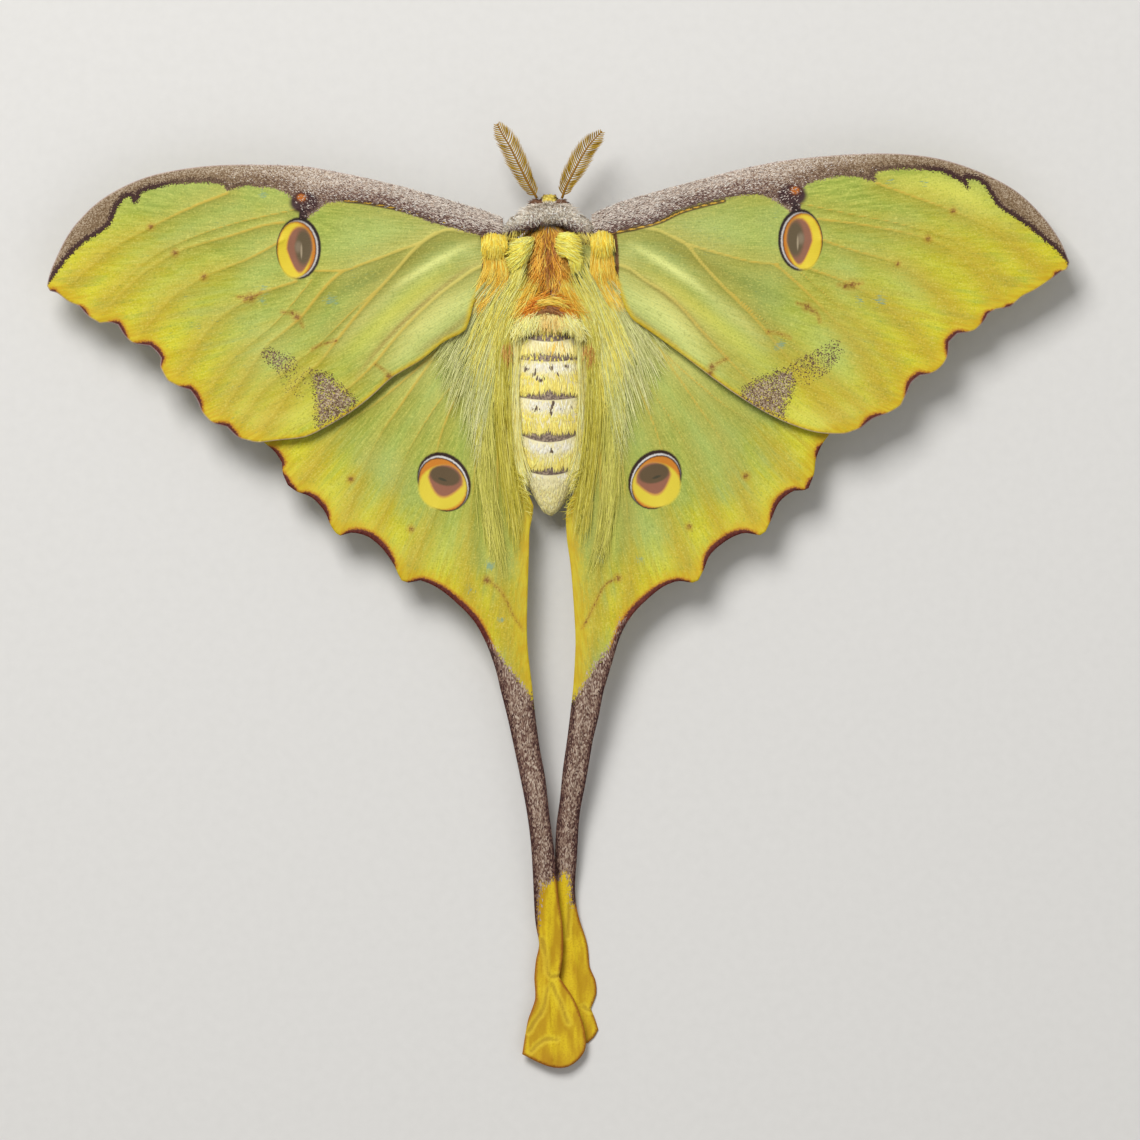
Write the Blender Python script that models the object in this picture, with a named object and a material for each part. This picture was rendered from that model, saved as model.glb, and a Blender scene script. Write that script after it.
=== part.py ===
"""African moon moth, spread and dried as a museum shows it, lying on its belly.

The body lies along Y with the head towards +Y, and the wings spread along X just above the floor.
The origin is on the floor, below the middle of the thorax. Units are metres, +Z is up.
Places on the wings and body are read off a plan of the specimen seen from straight above: plan
units run to the right and down, and place() turns them into metres.
"""
import math
import random

import bmesh
import bpy
from mathutils import Vector
from mathutils.geometry import delaunay_2d_cdt, intersect_point_line

# Overall size and the plan's scale
MM = 0.001
WINGSPAN = 112.5 * MM
PLAN_SPAN = 1022.5
UNIT = WINGSPAN / PLAN_SPAN
PLAN_CENTRE = (549.0, 265.0)
TOUCH_GAP = 0.3 * MM
SEED = 7

# Wings: a nearly level sheet whose tails come down to the floor
WING_THICKNESS = 0.5 * MM
HINDWING_HEIGHT = 4.7 * MM
FOREWING_RAISE = 1.15 * MM
OUTER_DROOP = 0.8 * MM
TAIL_FALL_FROM = 640.0
TAIL_FLAT_FROM = 985.0
TAIL_REST_HEIGHT = WING_THICKNESS / 2
CROSSING_RAISE = 1.0 * MM
CROSSING_FROM = 745.0
CROSSING_FULL = 830.0
EDGE_STEP = 1.1 * MM
VEIN_STEP = 2.2 * MM
VEIN_HALF_WIDTH = 0.45 * MM
VEIN_HEIGHT = 0.25 * MM
FILL_STEP = 4.2 * MM
VEIN_CLEARANCE = 0.4 * MM
FLANK_CLEARANCE = 0.35 * MM
FILL_CLEARANCE = 1.9 * MM
MERGE_DISTANCE = 0.002 * MM

# Outlines of the wings, as stretches that meet at corners; each is a smooth curve through its points
FOREWING_LEFT = [
    [(503, 218.5), (480, 210), (440, 198), (400, 186.5), (360, 177), (320, 169), (290, 165.5),
     (225, 165), (180, 169.5), (141, 179), (105, 197), (82, 217), (66, 238), (51, 270), (47, 286)],
    [(47, 286), (50, 291), (57, 293), (69, 302), (79, 306), (88, 316), (100, 323.4)],
    [(100, 323.4), (110, 322.5), (118, 325), (124, 335)],
    [(124, 335), (130, 341), (136, 344)],
    [(136, 344), (150, 346), (161, 358), (160, 366)],
    [(160, 366), (168, 381), (180, 387)],
    [(180, 387), (190, 390), (198.5, 403), (201.5, 411)],
    [(201.5, 411), (208.5, 419.5), (214.7, 423.7)],
    [(214.7, 423.7), (227, 427), (236, 436)],
    [(236, 436), (242, 439), (258, 442.5)],
    [(258, 442.5), (281, 440), (300, 438), (315, 433), (349, 413.5), (372, 396), (392.5, 377.5),
     (420, 361), (444, 342), (466, 329.5), (473, 306), (484, 283)],
    [(484, 283), (518, 276)],
    [(518, 276), (518, 247)],
    [(518, 247), (503, 241)],
    [(503, 241), (503, 218.5)],
]
FOREWING_RIGHT = [
    [(592, 214.5), (620, 203), (660, 191), (700, 180), (740, 169.5), (780, 161.4), (820, 156.7),
     (860, 154), (900, 154), (940, 159), (980, 172), (1016, 191), (1043, 216.5), (1061, 242),
     (1069.5, 262.5)],
    [(1069.5, 262.5), (1067, 269.5), (1061.5, 271.5), (1050, 280), (1035, 290), (1021.5, 297),
     (1010.5, 307), (1004, 308.3)],
    [(1004, 308.3), (996, 309.3), (988, 314), (984.7, 320.5)],
    [(984.7, 320.5), (975.5, 330), (969.5, 332)],
    [(969.5, 332), (957, 334), (949, 342), (947.8, 355.5)],
    [(947.8, 355.5), (942, 366), (932.5, 373)],
    [(932.5, 373), (919.4, 375.8), (911.5, 382.5), (907.3, 392)],
    [(907.3, 392), (901, 405.5), (887, 413.6)],
    [(887, 413.6), (873.5, 418.5), (861, 428)],
    [(861, 428), (845.5, 433.7), (835, 434)],
    [(835, 434), (820, 433), (803.5, 429), (778, 419), (750, 403.5), (720, 383.5), (685, 357),
     (655, 335), (632, 319), (625.5, 309), (616, 283)],
    [(616, 283), (580, 276)],
    [(580, 276), (580, 247)],
    [(580, 247), (592, 244)],
    [(592, 244), (592, 214.5)],
]
HINDWING_LEFT = [
    [(515.5, 286), (478, 290), (450, 304), (418, 328), (380, 354), (340, 386), (300, 414),
     (270, 434), (262, 441)],
    [(262, 441), (273, 450), (282, 463), (282.6, 473), (287.7, 485), (296.6, 491.5)],
    [(296.6, 491.5), (312.4, 498), (325.5, 513), (330, 524)],
    [(330, 524), (335.8, 533), (340, 535.7)],
    [(340, 535.7), (351, 532.8), (368, 536.7), (383.8, 550.3), (394.5, 566)],
    [(394.5, 566), (401.5, 580.5), (408.3, 582.7)],
    [(408.3, 582.7), (420.2, 580.4), (439, 588.8), (458, 604.3), (473.8, 621), (486, 643),
     (495.5, 669), (500, 688)],
    [(500, 688), (532.4, 688)],
    [(532.4, 688), (528, 651), (527, 620), (528.8, 560), (529.8, 529), (533.5, 506), (524, 486),
     (517, 462), (512.5, 440), (511, 400), (511, 360), (511, 330), (515.5, 314)],
    [(515.5, 314), (515.5, 286)],
]
HINDWING_RIGHT = [
    [(582, 286), (622, 288), (650, 303), (685, 328), (720, 355), (755, 382), (790, 404),
     (818, 424), (829.9, 433.7)],
    [(829.9, 433.7), (822, 444.6), (816.4, 457.4), (814, 474.3), (808.7, 488), (805, 490)],
    [(805, 490), (794, 490.7), (779.5, 502), (771.2, 519.7)],
    [(771.2, 519.7), (765.6, 531.6), (760, 535.3)],
    [(760, 535.3), (746, 533), (730, 538.5), (711.3, 553.3), (704, 569)],
    [(704, 569), (698.4, 580.4), (692.5, 582.8)],
    [(692.5, 582.8), (679.6, 581), (662.8, 587), (645, 601.5), (631.2, 616.5), (620.3, 636.4),
     (612, 663), (604.5, 688)],
    [(604.5, 688), (573.1, 688)],
    [(573.1, 688), (574.8, 661), (575.2, 631), (571, 570), (567, 540.5), (566, 516.5), (568, 505),
     (576, 488), (583, 464), (587, 440), (587, 400), (585.5, 360), (584.5, 330), (582, 314)],
    [(582, 314), (582, 286)],
]
TAIL_LEFT = [
    [(500.8, 691), (508, 720), (514.5, 750), (520.7, 780), (526.4, 810), (530.4, 840),
     (532.5, 870), (535, 920), (539, 945), (536, 960), (534.2, 980), (535, 1000), (528.2, 1020),
     (524, 1042.5), (522, 1055.5)],
    [(522, 1055.5), (530, 1059.7), (549.6, 1068), (568.3, 1068), (583, 1055.5), (586, 1040),
     (581.7, 1020), (573.8, 1000), (559, 978)],
    [(559, 978), (563, 955), (562.5, 925), (558, 895), (554, 850), (550, 820), (545.5, 780),
     (540, 750), (535.8, 720), (532.6, 691)],
    [(532.6, 691), (500.8, 691)],
]
TAIL_RIGHT = [
    [(572.8, 691), (570.7, 710), (567, 740), (562.8, 770), (559.8, 800), (556, 830), (555, 870),
     (557, 910), (560, 945), (558, 980), (553, 1010), (551, 1030), (556, 1042)],
    [(556, 1042), (570, 1047), (587.8, 1044.5), (598.4, 1031), (595, 1020), (590.8, 1010)],
    [(590.8, 1010), (596.5, 995), (595, 980), (589.8, 968)],
    [(589.8, 968), (587, 944), (578.3, 916), (575, 890), (577.2, 855), (578.5, 830),
     (580.4, 810), (584.3, 790), (588, 770), (593, 740), (598, 720), (603.6, 691)],
    [(603.6, 691), (572.8, 691)],
]

# Main veins, from the wing root outwards
VEINS = {
    "forewing_l": [
        [(510, 240), (480, 234), (452, 229.8), (420, 243), (381, 257.5), (344, 270.5), (312, 271)],
        [(344, 270.5), (317, 297), (280, 335), (262, 352), (217, 418)],
        [(436, 233), (411, 253), (384.5, 283), (356, 316), (319, 363), (260, 434)],
        [(510, 262), (484, 264), (460, 279), (420, 312), (383, 353), (344, 392)],
        [(228, 193), (190, 208), (151, 227), (110, 250), (70, 288)],
        [(270, 230), (230, 236), (175, 253), (110, 302)],
        [(285, 240), (250, 258), (204, 277), (170, 300), (142, 338)],
        [(300, 281), (251, 298), (210, 328), (176, 379)],
        [(494, 230), (440, 211.5), (360, 190.5), (290, 178.5), (225, 177.5), (141, 192.5), (90, 230)],
    ],
    "forewing_r": [
        [(586, 240), (620, 231), (656, 229.8), (687, 244), (729.8, 256.3), (775, 264), (796, 262)],
        [(775, 264), (800, 286), (836, 322), (860, 350), (889, 408)],
        [(674, 237), (701, 262.4), (740, 303.3), (770, 336), (800, 372), (848, 428)],
        [(586, 260), (618, 262), (646, 280.8), (681, 307), (728, 359.4), (766, 402)],
        [(876, 183), (912, 196), (953, 211), (1000, 234), (1046, 274)],
        [(830, 224), (870, 226), (928, 239), (1000, 296)],
        [(822, 240), (852, 250), (898, 264), (935, 290), (972, 326)],
        [(806, 272), (852, 285), (893, 312), (938, 366)],
        [(600, 226), (660, 204.5), (740, 182.5), (820, 169), (900, 166.5), (978, 185), (1030, 221)],
    ],
    "hindwing_l": [
        [(508, 298), (470, 320), (420, 366), (380, 400), (340, 430), (300, 482)],
        [(440, 348), (404, 400), (372, 450), (342, 528)],
        [(500, 312), (468, 372), (440, 420), (430, 450)],
        [(436, 508), (420, 540), (408, 575)],
        [(504, 330), (492, 420), (484, 500), (482, 570), (500, 640), (512, 680)],
    ],
    "hindwing_r": [
        [(590, 298), (628, 320), (678, 366), (718, 400), (758, 430), (800, 482)],
        [(658, 348), (694, 400), (726, 450), (758, 528)],
        [(598, 312), (630, 372), (658, 420), (668, 448)],
        [(664, 508), (680, 540), (692, 575)],
        [(594, 330), (606, 420), (614, 500), (616, 570), (600, 640), (590, 680)],
    ],
    "tail_l": [[(518, 696), (530, 760), (538, 820), (545, 880), (548, 940), (546, 1000), (552, 1056)]],
    "tail_r": [[(587, 696), (580, 740), (573, 800), (568, 832)]],
}

# Body: plan place along the body, middle, half width, underside height and top height
THORAX = [
    (225, 549, 0, 4.2, 4.2), (227.5, 549, 8, 2.4, 5.8), (233, 549, 13, 1.2, 6.4),
    (243, 549, 28, 0.1, 6.9), (256, 549, 31, -0.55, 7.2), (272, 549, 31, -0.55, 7.3),
    (288, 549, 31, -0.55, 7.2), (304, 549, 30, -0.1, 7.0), (315, 548.5, 29, 0.6, 6.4),
    (317, 548, 0, 3.5, 3.5),
]
ABDOMEN_FRONT = 320.0
ABDOMEN_END = 518.0
ABDOMEN_SEGMENTS = 7
ABDOMEN_SEGMENT_DIP = 0.05
ABDOMEN_PROFILE = [
    (320, 548, 0, 3.4, 3.4), (322, 547.5, 30, 0.6, 6.3), (330, 547, 35, 0.1, 6.8),
    (350, 547.5, 36, -0.3, 7.0), (385, 548.5, 37, -0.5, 7.1), (420, 549.5, 36.5, -0.5, 7.0),
    (450, 550, 34, -0.2, 6.6), (470, 551, 30.5, 0.3, 6.1), (485, 551, 24, 0.7, 5.6),
    (500, 551, 17, 1.2, 5.0), (511, 550, 10, 1.8, 4.3), (518, 550, 0, 3.0, 3.0),
]
HEAD = [
    (194.5, 549.5, 0, 3.2, 3.2), (196, 549.5, 12, 1.9, 4.5), (200, 549.5, 16.5, 1.4, 5.0),
    (206, 549.5, 18.5, 1.2, 5.2), (214, 549.5, 18, 1.3, 5.1), (219.5, 549.5, 13, 1.9, 4.7),
    (221.5, 549.5, 0, 3.4, 3.4),
]
BODY_SEGMENTS = 16
HEAD_SIDE = 14.5
EYE_PLACE = (210.5, 3.05)
EYE_RADIUS = 1.05 * MM
EYE_DEPTH = 0.7 * MM

# Collar: middle line of the ruff and its half depth in the plan, with its height and half height
COLLAR = [
    (506, 229.5, 8.5, 5.6, 1.1), (515, 226, 11, 5.6, 1.5), (526, 222.5, 12, 5.8, 1.5),
    (535.5, 217, 11, 6.3, 1.0), (549.5, 211.5, 9.5, 6.5, 0.95), (563, 217, 10.5, 6.3, 1.0),
    (574, 224, 12, 5.8, 1.5), (583, 227.5, 12, 5.6, 1.5), (589.5, 229.5, 10, 5.6, 1.1),
]

# Antennae: the shaft in the plan with heights, and the reach of the comb to each side
ANTENNA_SHAFT = {
    "l": [(537, 197, 4.95), (529, 185, 5.4), (522.4, 172, 5.7), (509.5, 146, 6.0), (503, 135.5, 6.1),
          (495.5, 121, 6.1)],
    "r": [(562, 197, 4.95), (566, 187, 5.4), (571, 177, 5.7), (584, 153, 6.0), (592, 142, 6.1),
          (602, 131.5, 6.1)],
}
ANTENNA_ROOT_RADIUS = 0.36 * MM
ANTENNA_TIP_RADIUS = 0.28 * MM
COMB_PAIRS = 10
COMB_LENGTH = 1.5 * MM
COMB_ROOT_RADIUS = 0.25 * MM
COMB_TIP_RADIUS = 0.1 * MM
COMB_SWEEP = math.radians(58)
COMB_FROM = 0.12
COMB_UNTIL = 0.94
COMB_SHORTEST = 0.45
SHAFT_STEP = 1.3 * MM

# Palps: place of the roots along the plan, out from the middle and up, and the line of each
PALP_ROOT = 205.0
PALP_ASIDE = 0.6 * MM
PALP_HEIGHT = 0.55 * MM
PALP_LINE = ((0.0, 0.0), (0.55 * MM, 0.13 * MM), (0.93 * MM, 0.55 * MM), (1.26 * MM, 0.95 * MM))
PALP_RADII = (0.3 * MM, 0.36 * MM, 0.25 * MM, 0.12 * MM)

# Legs: coxa, knee, ankle and toe, in millimetres out from the middle, along Y and up
LEGS = {
    "fore": [(3.3, 2.2, 0.95), (5.6, 3.2, 2.7), (7.6, 1.8, 0.7), (10.4, 2.9, 0.24)],
    "mid": [(3.75, -0.6, 1.05), (6.6, -0.9, 2.9), (8.8, -2.2, 0.7), (12.0, -2.8, 0.24)],
    "hind": [(3.65, -3.3, 1.05), (6.0, -4.8, 2.6), (7.6, -7.6, 0.7), (8.8, -11.0, 0.24)],
}
LEG_RADII = (0.6 * MM, 0.5 * MM, 0.36 * MM, 0.28 * MM)
LEG_STEP = 1.4 * MM

# Hair as rows of flat tapered locks: first and last root, first and last tip, how many, heights of
# root, middle and tip in millimetres, and half width in the plan. Side rows are given for the left
# and mirrored; those of the hindwings take their heights from the wing.
LOCK_SHARES = (0.0, 0.3, 0.72, 1.0)
LOCK_WIDTHS = (0.8, 1.0, 0.92, 0.32)
LOCK_HALF_THICKNESS = (0.25 * MM, 0.34 * MM, 0.3 * MM, 0.1 * MM)
LOCK_STRAY = 1.6
BACK_ROWS = [
    ((545, 232), (553, 232), (540, 249), (558, 249), 3, (5.9, 6.8, 7.1), 4.6),
    ((540, 238), (558, 238), (533, 258), (565, 258), 4, (6.3, 7.0, 7.3), 6.0),
    ((533, 248), (565, 248), (529, 274), (569, 274), 5, (6.8, 7.35, 7.5), 6.6),
    ((530, 266), (568, 266), (527, 293), (571, 293), 5, (6.9, 7.5, 7.6), 6.8),
    ((530, 284), (568, 284), (523, 309), (575, 309), 5, (6.7, 7.4, 7.3), 7.0),
    ((532, 298), (566, 298), (525, 325), (573, 325), 5, (6.3, 7.1, 7.3), 7.0),
]
SIDE_ROWS = [
    ((530, 265), (537, 260), (511, 247), (527, 239), 2, (6.4, 7.2, 7.2), 7.0),
    ((534, 262), (535, 255), (489, 252), (503, 241), 2, (6.2, 7.15, 6.95), 8.0),
    ((534, 280), (535, 268), (473, 305), (483, 266), 3, (6.2, 7.1, 6.85), 8.4),
    ((532, 296), (533, 288), (504, 326), (486, 316), 2, (6.0, 6.9, 6.6), 8.0),
]
RUFF_ROWS = [
    ((516, 230), (546, 216), (510, 211), (545, 200), 5, (6.0, 7.2, 6.9), 5.0),
    ((585, 230), (553, 216), (588, 211), (555, 200), 5, (6.0, 7.2, 6.9), 5.0),
]
WING_HAIR_ROWS = [
    ((500, 300), (488, 306), (496, 440), (450, 404), 4, (0.0, 0.95, 0.8), 7.0),
    ((502, 318), (505, 440), (505, 366), (513, 482), 4, (0.0, 0.95, 0.75), 4.6),
]

COLOURS = {
    "wing": (0.55, 0.56, 0.13, 1.0),
    "tail": (0.52, 0.40, 0.10, 1.0),
    "thorax": (0.50, 0.30, 0.09, 1.0),
    "collar": (0.55, 0.50, 0.46, 1.0),
    "abdomen": (0.72, 0.62, 0.30, 1.0),
    "antenna": (0.55, 0.33, 0.08, 1.0),
    "eye": (0.03, 0.02, 0.02, 1.0),
    "leg": (0.33, 0.14, 0.09, 1.0),
}


def place(px, py, z=0.0):
    """A point of the plan in metres."""
    return Vector(((px - PLAN_CENTRE[0]) * UNIT, (PLAN_CENTRE[1] - py) * UNIT, z))


def blend(low, high, value):
    """Smooth step from 0 at low to 1 at high."""
    t = min(1.0, max(0.0, (value - low) / (high - low)))
    return t * t * (3.0 - 2.0 * t)


def sheet_height(point, node):
    """Height of the middle of a wing or tail at a point."""
    plan_y = PLAN_CENTRE[1] - point.y / UNIT
    level = HINDWING_HEIGHT - OUTER_DROOP * (2.0 * point.x / WINGSPAN) ** 2
    fall = blend(TAIL_FALL_FROM, TAIL_FLAT_FROM, plan_y)
    level += (TAIL_REST_HEIGHT - level) * fall
    if node.startswith("forewing"):
        level += FOREWING_RAISE
    if node == "tail_l":
        level += CROSSING_RAISE * blend(CROSSING_FROM, CROSSING_FULL, plan_y)
    return level


def smooth(points, step):
    """Points about one step apart on a Catmull-Rom curve, without the last one."""
    ends = [2 * points[0] - points[1]] + points + [2 * points[-1] - points[-2]]
    result = []
    for a, b, c, d in zip(ends, ends[1:], ends[2:], ends[3:]):
        count = max(1, round((c - b).length / step))
        for i in range(count):
            t = i / count
            result.append(0.5 * (2 * b + (c - a) * t + (2 * a - 5 * b + 4 * c - d) * t * t
                                 + (3 * b - a - 3 * c + d) * t ** 3))
    return result


def trace(stretches, step):
    """Closed outline of a wing as points in metres."""
    outline = []
    for stretch in stretches:
        outline += smooth([place(*p) for p in stretch], step)
    return outline


def distance_to(line, point):
    """Distance from a point to a line of points, in plan."""
    best = math.inf
    for a, b in zip(line, line[1:]):
        near, t = intersect_point_line(point, a, b)
        near = a if t < 0 else b if t > 1 else near
        best = min(best, (point - near).length)
    return best


def inside(outline, point):
    """Whether a point lies within a closed outline."""
    hit = False
    for a, b in zip(outline, outline[1:] + outline[:1]):
        if (a.y > point.y) != (b.y > point.y):
            if point.x < a.x + (point.y - a.y) * (b.x - a.x) / (b.y - a.y):
                hit = not hit
    return hit


def material(name, roughness=0.7):
    """Principled material in a colour of the moth."""
    mat = bpy.data.materials.get(name)
    if mat is None:
        mat = bpy.data.materials.new(name)
        mat.use_nodes = True
        shader = mat.node_tree.nodes["Principled BSDF"]
        shader.inputs["Base Color"].default_value = COLOURS[name]
        shader.inputs["Roughness"].default_value = roughness
        shader.inputs["Metallic"].default_value = 0.0
    return mat


def add_object(name, bm, finish, collection):
    """Closed mesh object from a bmesh, with its faces pointing out."""
    bmesh.ops.recalc_face_normals(bm, faces=bm.faces[:])
    if bm.calc_volume(signed=True) < 0:
        bmesh.ops.reverse_faces(bm, faces=bm.faces[:])
    mesh = bpy.data.meshes.new(name)
    bm.to_mesh(mesh)
    bm.free()
    mesh.shade_smooth()
    mesh.set_sharp_from_angle(angle=math.radians(40))
    mesh.materials.append(material(finish))
    obj = bpy.data.objects.new(name, mesh)
    collection.objects.link(obj)
    return obj


def add_wing(name, stretches, finish, collection):
    """Sheet cut to its outline, with the main veins raised in its own upper face."""
    outline = trace(stretches, EDGE_STEP)
    veins = [smooth([place(*p) for p in vein], VEIN_STEP) + [place(*vein[-1])]
             for vein in VEINS[name]]
    points = list(outline)

    def offer(point, clearance):
        """Keeps a point that lies inside the outline and clear of the others."""
        edge_clear = distance_to(outline + outline[:1], point)
        if inside(outline, point) and edge_clear > clearance:
            if min((point - other).length for other in points) > clearance:
                points.append(point)

    for vein in veins:
        for point in vein:
            offer(point, VEIN_CLEARANCE)
    for vein in veins:
        for a, b in zip(vein, vein[1:]):
            along = (b - a).normalized()
            aside = Vector((-along.y, along.x, 0.0)) * VEIN_HALF_WIDTH
            offer(a + aside, FLANK_CLEARANCE)
            offer(a - aside, FLANK_CLEARANCE)
    low_x, high_x = min(p.x for p in outline), max(p.x for p in outline)
    low_y, high_y = min(p.y for p in outline), max(p.y for p in outline)
    for row in range(int((high_y - low_y) / FILL_STEP) + 1):
        for column in range(int((high_x - low_x) / FILL_STEP) + 1):
            shift = 0.5 * (row % 2)
            offer(Vector((low_x + (column + shift) * FILL_STEP, low_y + row * FILL_STEP, 0.0)),
                  FILL_CLEARANCE)

    flat, _, faces, _, _, _ = delaunay_2d_cdt([p.xy for p in points], [],
                                              [list(range(len(outline)))], 1, 1e-7)
    bm = bmesh.new()
    for p in flat:
        point = Vector((p.x, p.y, 0.0))
        bm.verts.new((p.x, p.y, sheet_height(point, name) - WING_THICKNESS / 2))
    bm.verts.ensure_lookup_table()
    for face in faces:
        bm.faces.new([bm.verts[i] for i in face])
    loose = [v for v in bm.verts if not v.link_faces]
    bmesh.ops.delete(bm, geom=loose, context="VERTS")
    raised = bmesh.ops.extrude_face_region(bm, geom=bm.faces[:])["geom"]
    for vert in [g for g in raised if isinstance(g, bmesh.types.BMVert)]:
        point = Vector((vert.co.x, vert.co.y, 0.0))
        off_vein = min(distance_to(vein, point) for vein in veins)
        ridge = VEIN_HEIGHT * max(0.0, 1.0 - off_vein / VEIN_HALF_WIDTH)
        vert.co.z += WING_THICKNESS + ridge
    bmesh.ops.triangulate(bm, faces=bm.faces[:])
    return add_object(name, bm, finish, collection)


def body_form(stations, segments=BODY_SEGMENTS):
    """Rounded body through its stations, from a sphere whose rings take their sizes."""
    bm = bmesh.new()
    rings = len(stations) - 1
    bmesh.ops.create_uvsphere(bm, u_segments=segments, v_segments=rings, radius=1.0)
    for vert in bm.verts:
        ring = round(math.acos(max(-1.0, min(1.0, vert.co.z))) / math.pi * rings)
        py, px, half_width, low, high = stations[ring]
        round_angle = math.atan2(vert.co.y, vert.co.x)
        centre = place(px, py, (low + high) / 2 * MM)
        vert.co.x = centre.x + half_width * UNIT * math.cos(round_angle)
        vert.co.y = centre.y
        vert.co.z = max(0.0, centre.z + (high - low) / 2 * MM * math.sin(round_angle))
    return bm


def between(profile, py):
    """Station of a body profile at a plan place, read between its neighbours."""
    for first, last in zip(profile, profile[1:]):
        if first[0] <= py <= last[0]:
            t = (py - first[0]) / (last[0] - first[0])
            return tuple(a + (b - a) * t for a, b in zip(first, last))
    return profile[-1]


def abdomen_stations():
    """Abdomen with a shallow dip where each segment meets the next."""
    stations = [ABDOMEN_PROFILE[0], ABDOMEN_PROFILE[1]]
    length = (ABDOMEN_END - ABDOMEN_FRONT) / ABDOMEN_SEGMENTS
    for segment in range(ABDOMEN_SEGMENTS):
        for share, dip in ((0.35, 0.0), (0.75, 0.0), (1.0, ABDOMEN_SEGMENT_DIP)):
            py, px, half_width, low, high = between(ABDOMEN_PROFILE,
                                                    ABDOMEN_FRONT + (segment + share) * length)
            high -= (high - low) * dip
            stations.append((py, px, half_width * (1.0 - dip), low, high))
    stations.sort()
    return stations


def sweep(stations, sides, turn=0.5):
    """Closed body along its stations, each a centre with a sideways and an upward half size."""
    bm = bmesh.new()
    rings = []
    for centre, across, up in stations:
        ring = []
        for i in range(sides):
            angle = 2 * math.pi * (i + turn) / sides
            ring.append(bm.verts.new(centre + across * math.cos(angle) + up * math.sin(angle)))
        rings.append(ring)
    for ring, following in zip(rings, rings[1:]):
        for i in range(sides):
            j = (i + 1) % sides
            bm.faces.new((ring[i], ring[j], following[j], following[i]))
    bm.faces.new(rings[0])
    bm.faces.new(rings[-1])
    bmesh.ops.triangulate(bm, faces=bm.faces[:])
    return bm


def tube(points, radii, sides):
    """Tapered round body along its points."""
    stations = []
    for i, (point, radius) in enumerate(zip(points, radii)):
        ahead = points[min(i + 1, len(points) - 1)] - points[max(i - 1, 0)]
        across = ahead.cross(Vector((0, 0, 1))).normalized()
        up = across.cross(ahead).normalized()
        stations.append((point, across * radius, up * radius))
    return sweep(stations, sides)


def largest_surface(bm):
    """Deletes all but the largest connected surface."""
    groups = []
    left = set(bm.verts)
    while left:
        group = {left.pop()}
        edge = set(group)
        while edge:
            edge = {e.other_vert(v) for v in edge for e in v.link_edges} - group
            group |= edge
        left -= group
        groups.append(group)
    keep = max(groups, key=len)
    bmesh.ops.delete(bm, geom=[v for v in bm.verts if v not in keep], context="VERTS")


def fuse(core, pieces):
    """Joins the pieces to their core as one closed body."""
    union = core.modifiers.new("join", "BOOLEAN")
    union.operation = "UNION"
    union.operand_type = "COLLECTION"
    union.collection = pieces
    union.solver = "MANIFOLD"
    bpy.context.view_layer.update()
    evaluated = core.evaluated_get(bpy.context.evaluated_depsgraph_get())
    joined = bpy.data.meshes.new_from_object(evaluated)
    core.modifiers.clear()
    bm = bmesh.new()
    bm.from_mesh(joined)
    bpy.data.meshes.remove(joined)
    bmesh.ops.remove_doubles(bm, verts=bm.verts[:], dist=MERGE_DISTANCE)
    largest_surface(bm)
    bmesh.ops.triangulate(bm, faces=bm.faces[:])
    bm.to_mesh(core.data)
    bm.free()
    for piece in list(pieces.objects):
        bpy.data.objects.remove(piece, do_unlink=True)
    bpy.data.collections.remove(pieces)


def piece_collection(name):
    """Collection for the pieces of one node until they are joined."""
    pieces = bpy.data.collections.new(name)
    bpy.context.scene.collection.children.link(pieces)
    return pieces


def lock(root, tip, heights, half_width):
    """Flat tapered lock of hair that leaves its root and bends over along its lie."""
    along = (tip - root).normalized()
    aside = Vector((-along.y, along.x, 0.0)) * half_width
    stations = []
    for share, height, width, half_thickness in zip(LOCK_SHARES, heights, LOCK_WIDTHS,
                                                    LOCK_HALF_THICKNESS):
        centre = root.lerp(tip, share)
        centre.z = height
        stations.append((centre, aside * width, Vector((0, 0, half_thickness))))
    return sweep(stations, 4, 0.0)


def add_locks(core, rows, base=None):
    """Grows rows of locks on a node and fuses them to it."""
    pieces = piece_collection(core.name + "_locks")
    for row, (root_a, root_b, tip_a, tip_b, count, heights, half_width) in enumerate(rows):
        for i in range(count):
            t = i / (count - 1)
            root = place(*root_a).lerp(place(*root_b), t)
            stray = Vector((random.uniform(-1, 1), random.uniform(-1, 1), 0)) * LOCK_STRAY * UNIT
            tip = place(*tip_a).lerp(place(*tip_b), t) + stray
            levels = [h * MM for h in (heights[0], heights[1], heights[1], heights[2])]
            if base:
                levels = [level + sheet_height(root.lerp(tip, share), base)
                          for level, share in zip(levels, LOCK_SHARES)]
            piece = lock(root, tip, levels, half_width * UNIT)
            add_object(f"lock_{row}_{i}", piece, core.data.materials[0].name, pieces)
    fuse(core, pieces)


def mirrored(rows):
    """Rows of the left side as they lie on the right one."""
    middle = 2 * PLAN_CENTRE[0]
    return [tuple((middle - p[0], p[1]) for p in row[:4]) + row[4:] for row in rows]


def add_collar(collection):
    """Ruff of pale scales that arches over the back of the head."""
    stations = []
    for px, py, half_depth, height, half_height in COLLAR:
        centre = place(px, py, height * MM)
        stations.append((centre, Vector((0, half_depth * UNIT, 0)),
                         Vector((0, 0, half_height * MM))))
    collar = add_object("collar", sweep(stations, 8), "collar", collection)
    add_locks(collar, RUFF_ROWS)


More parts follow.
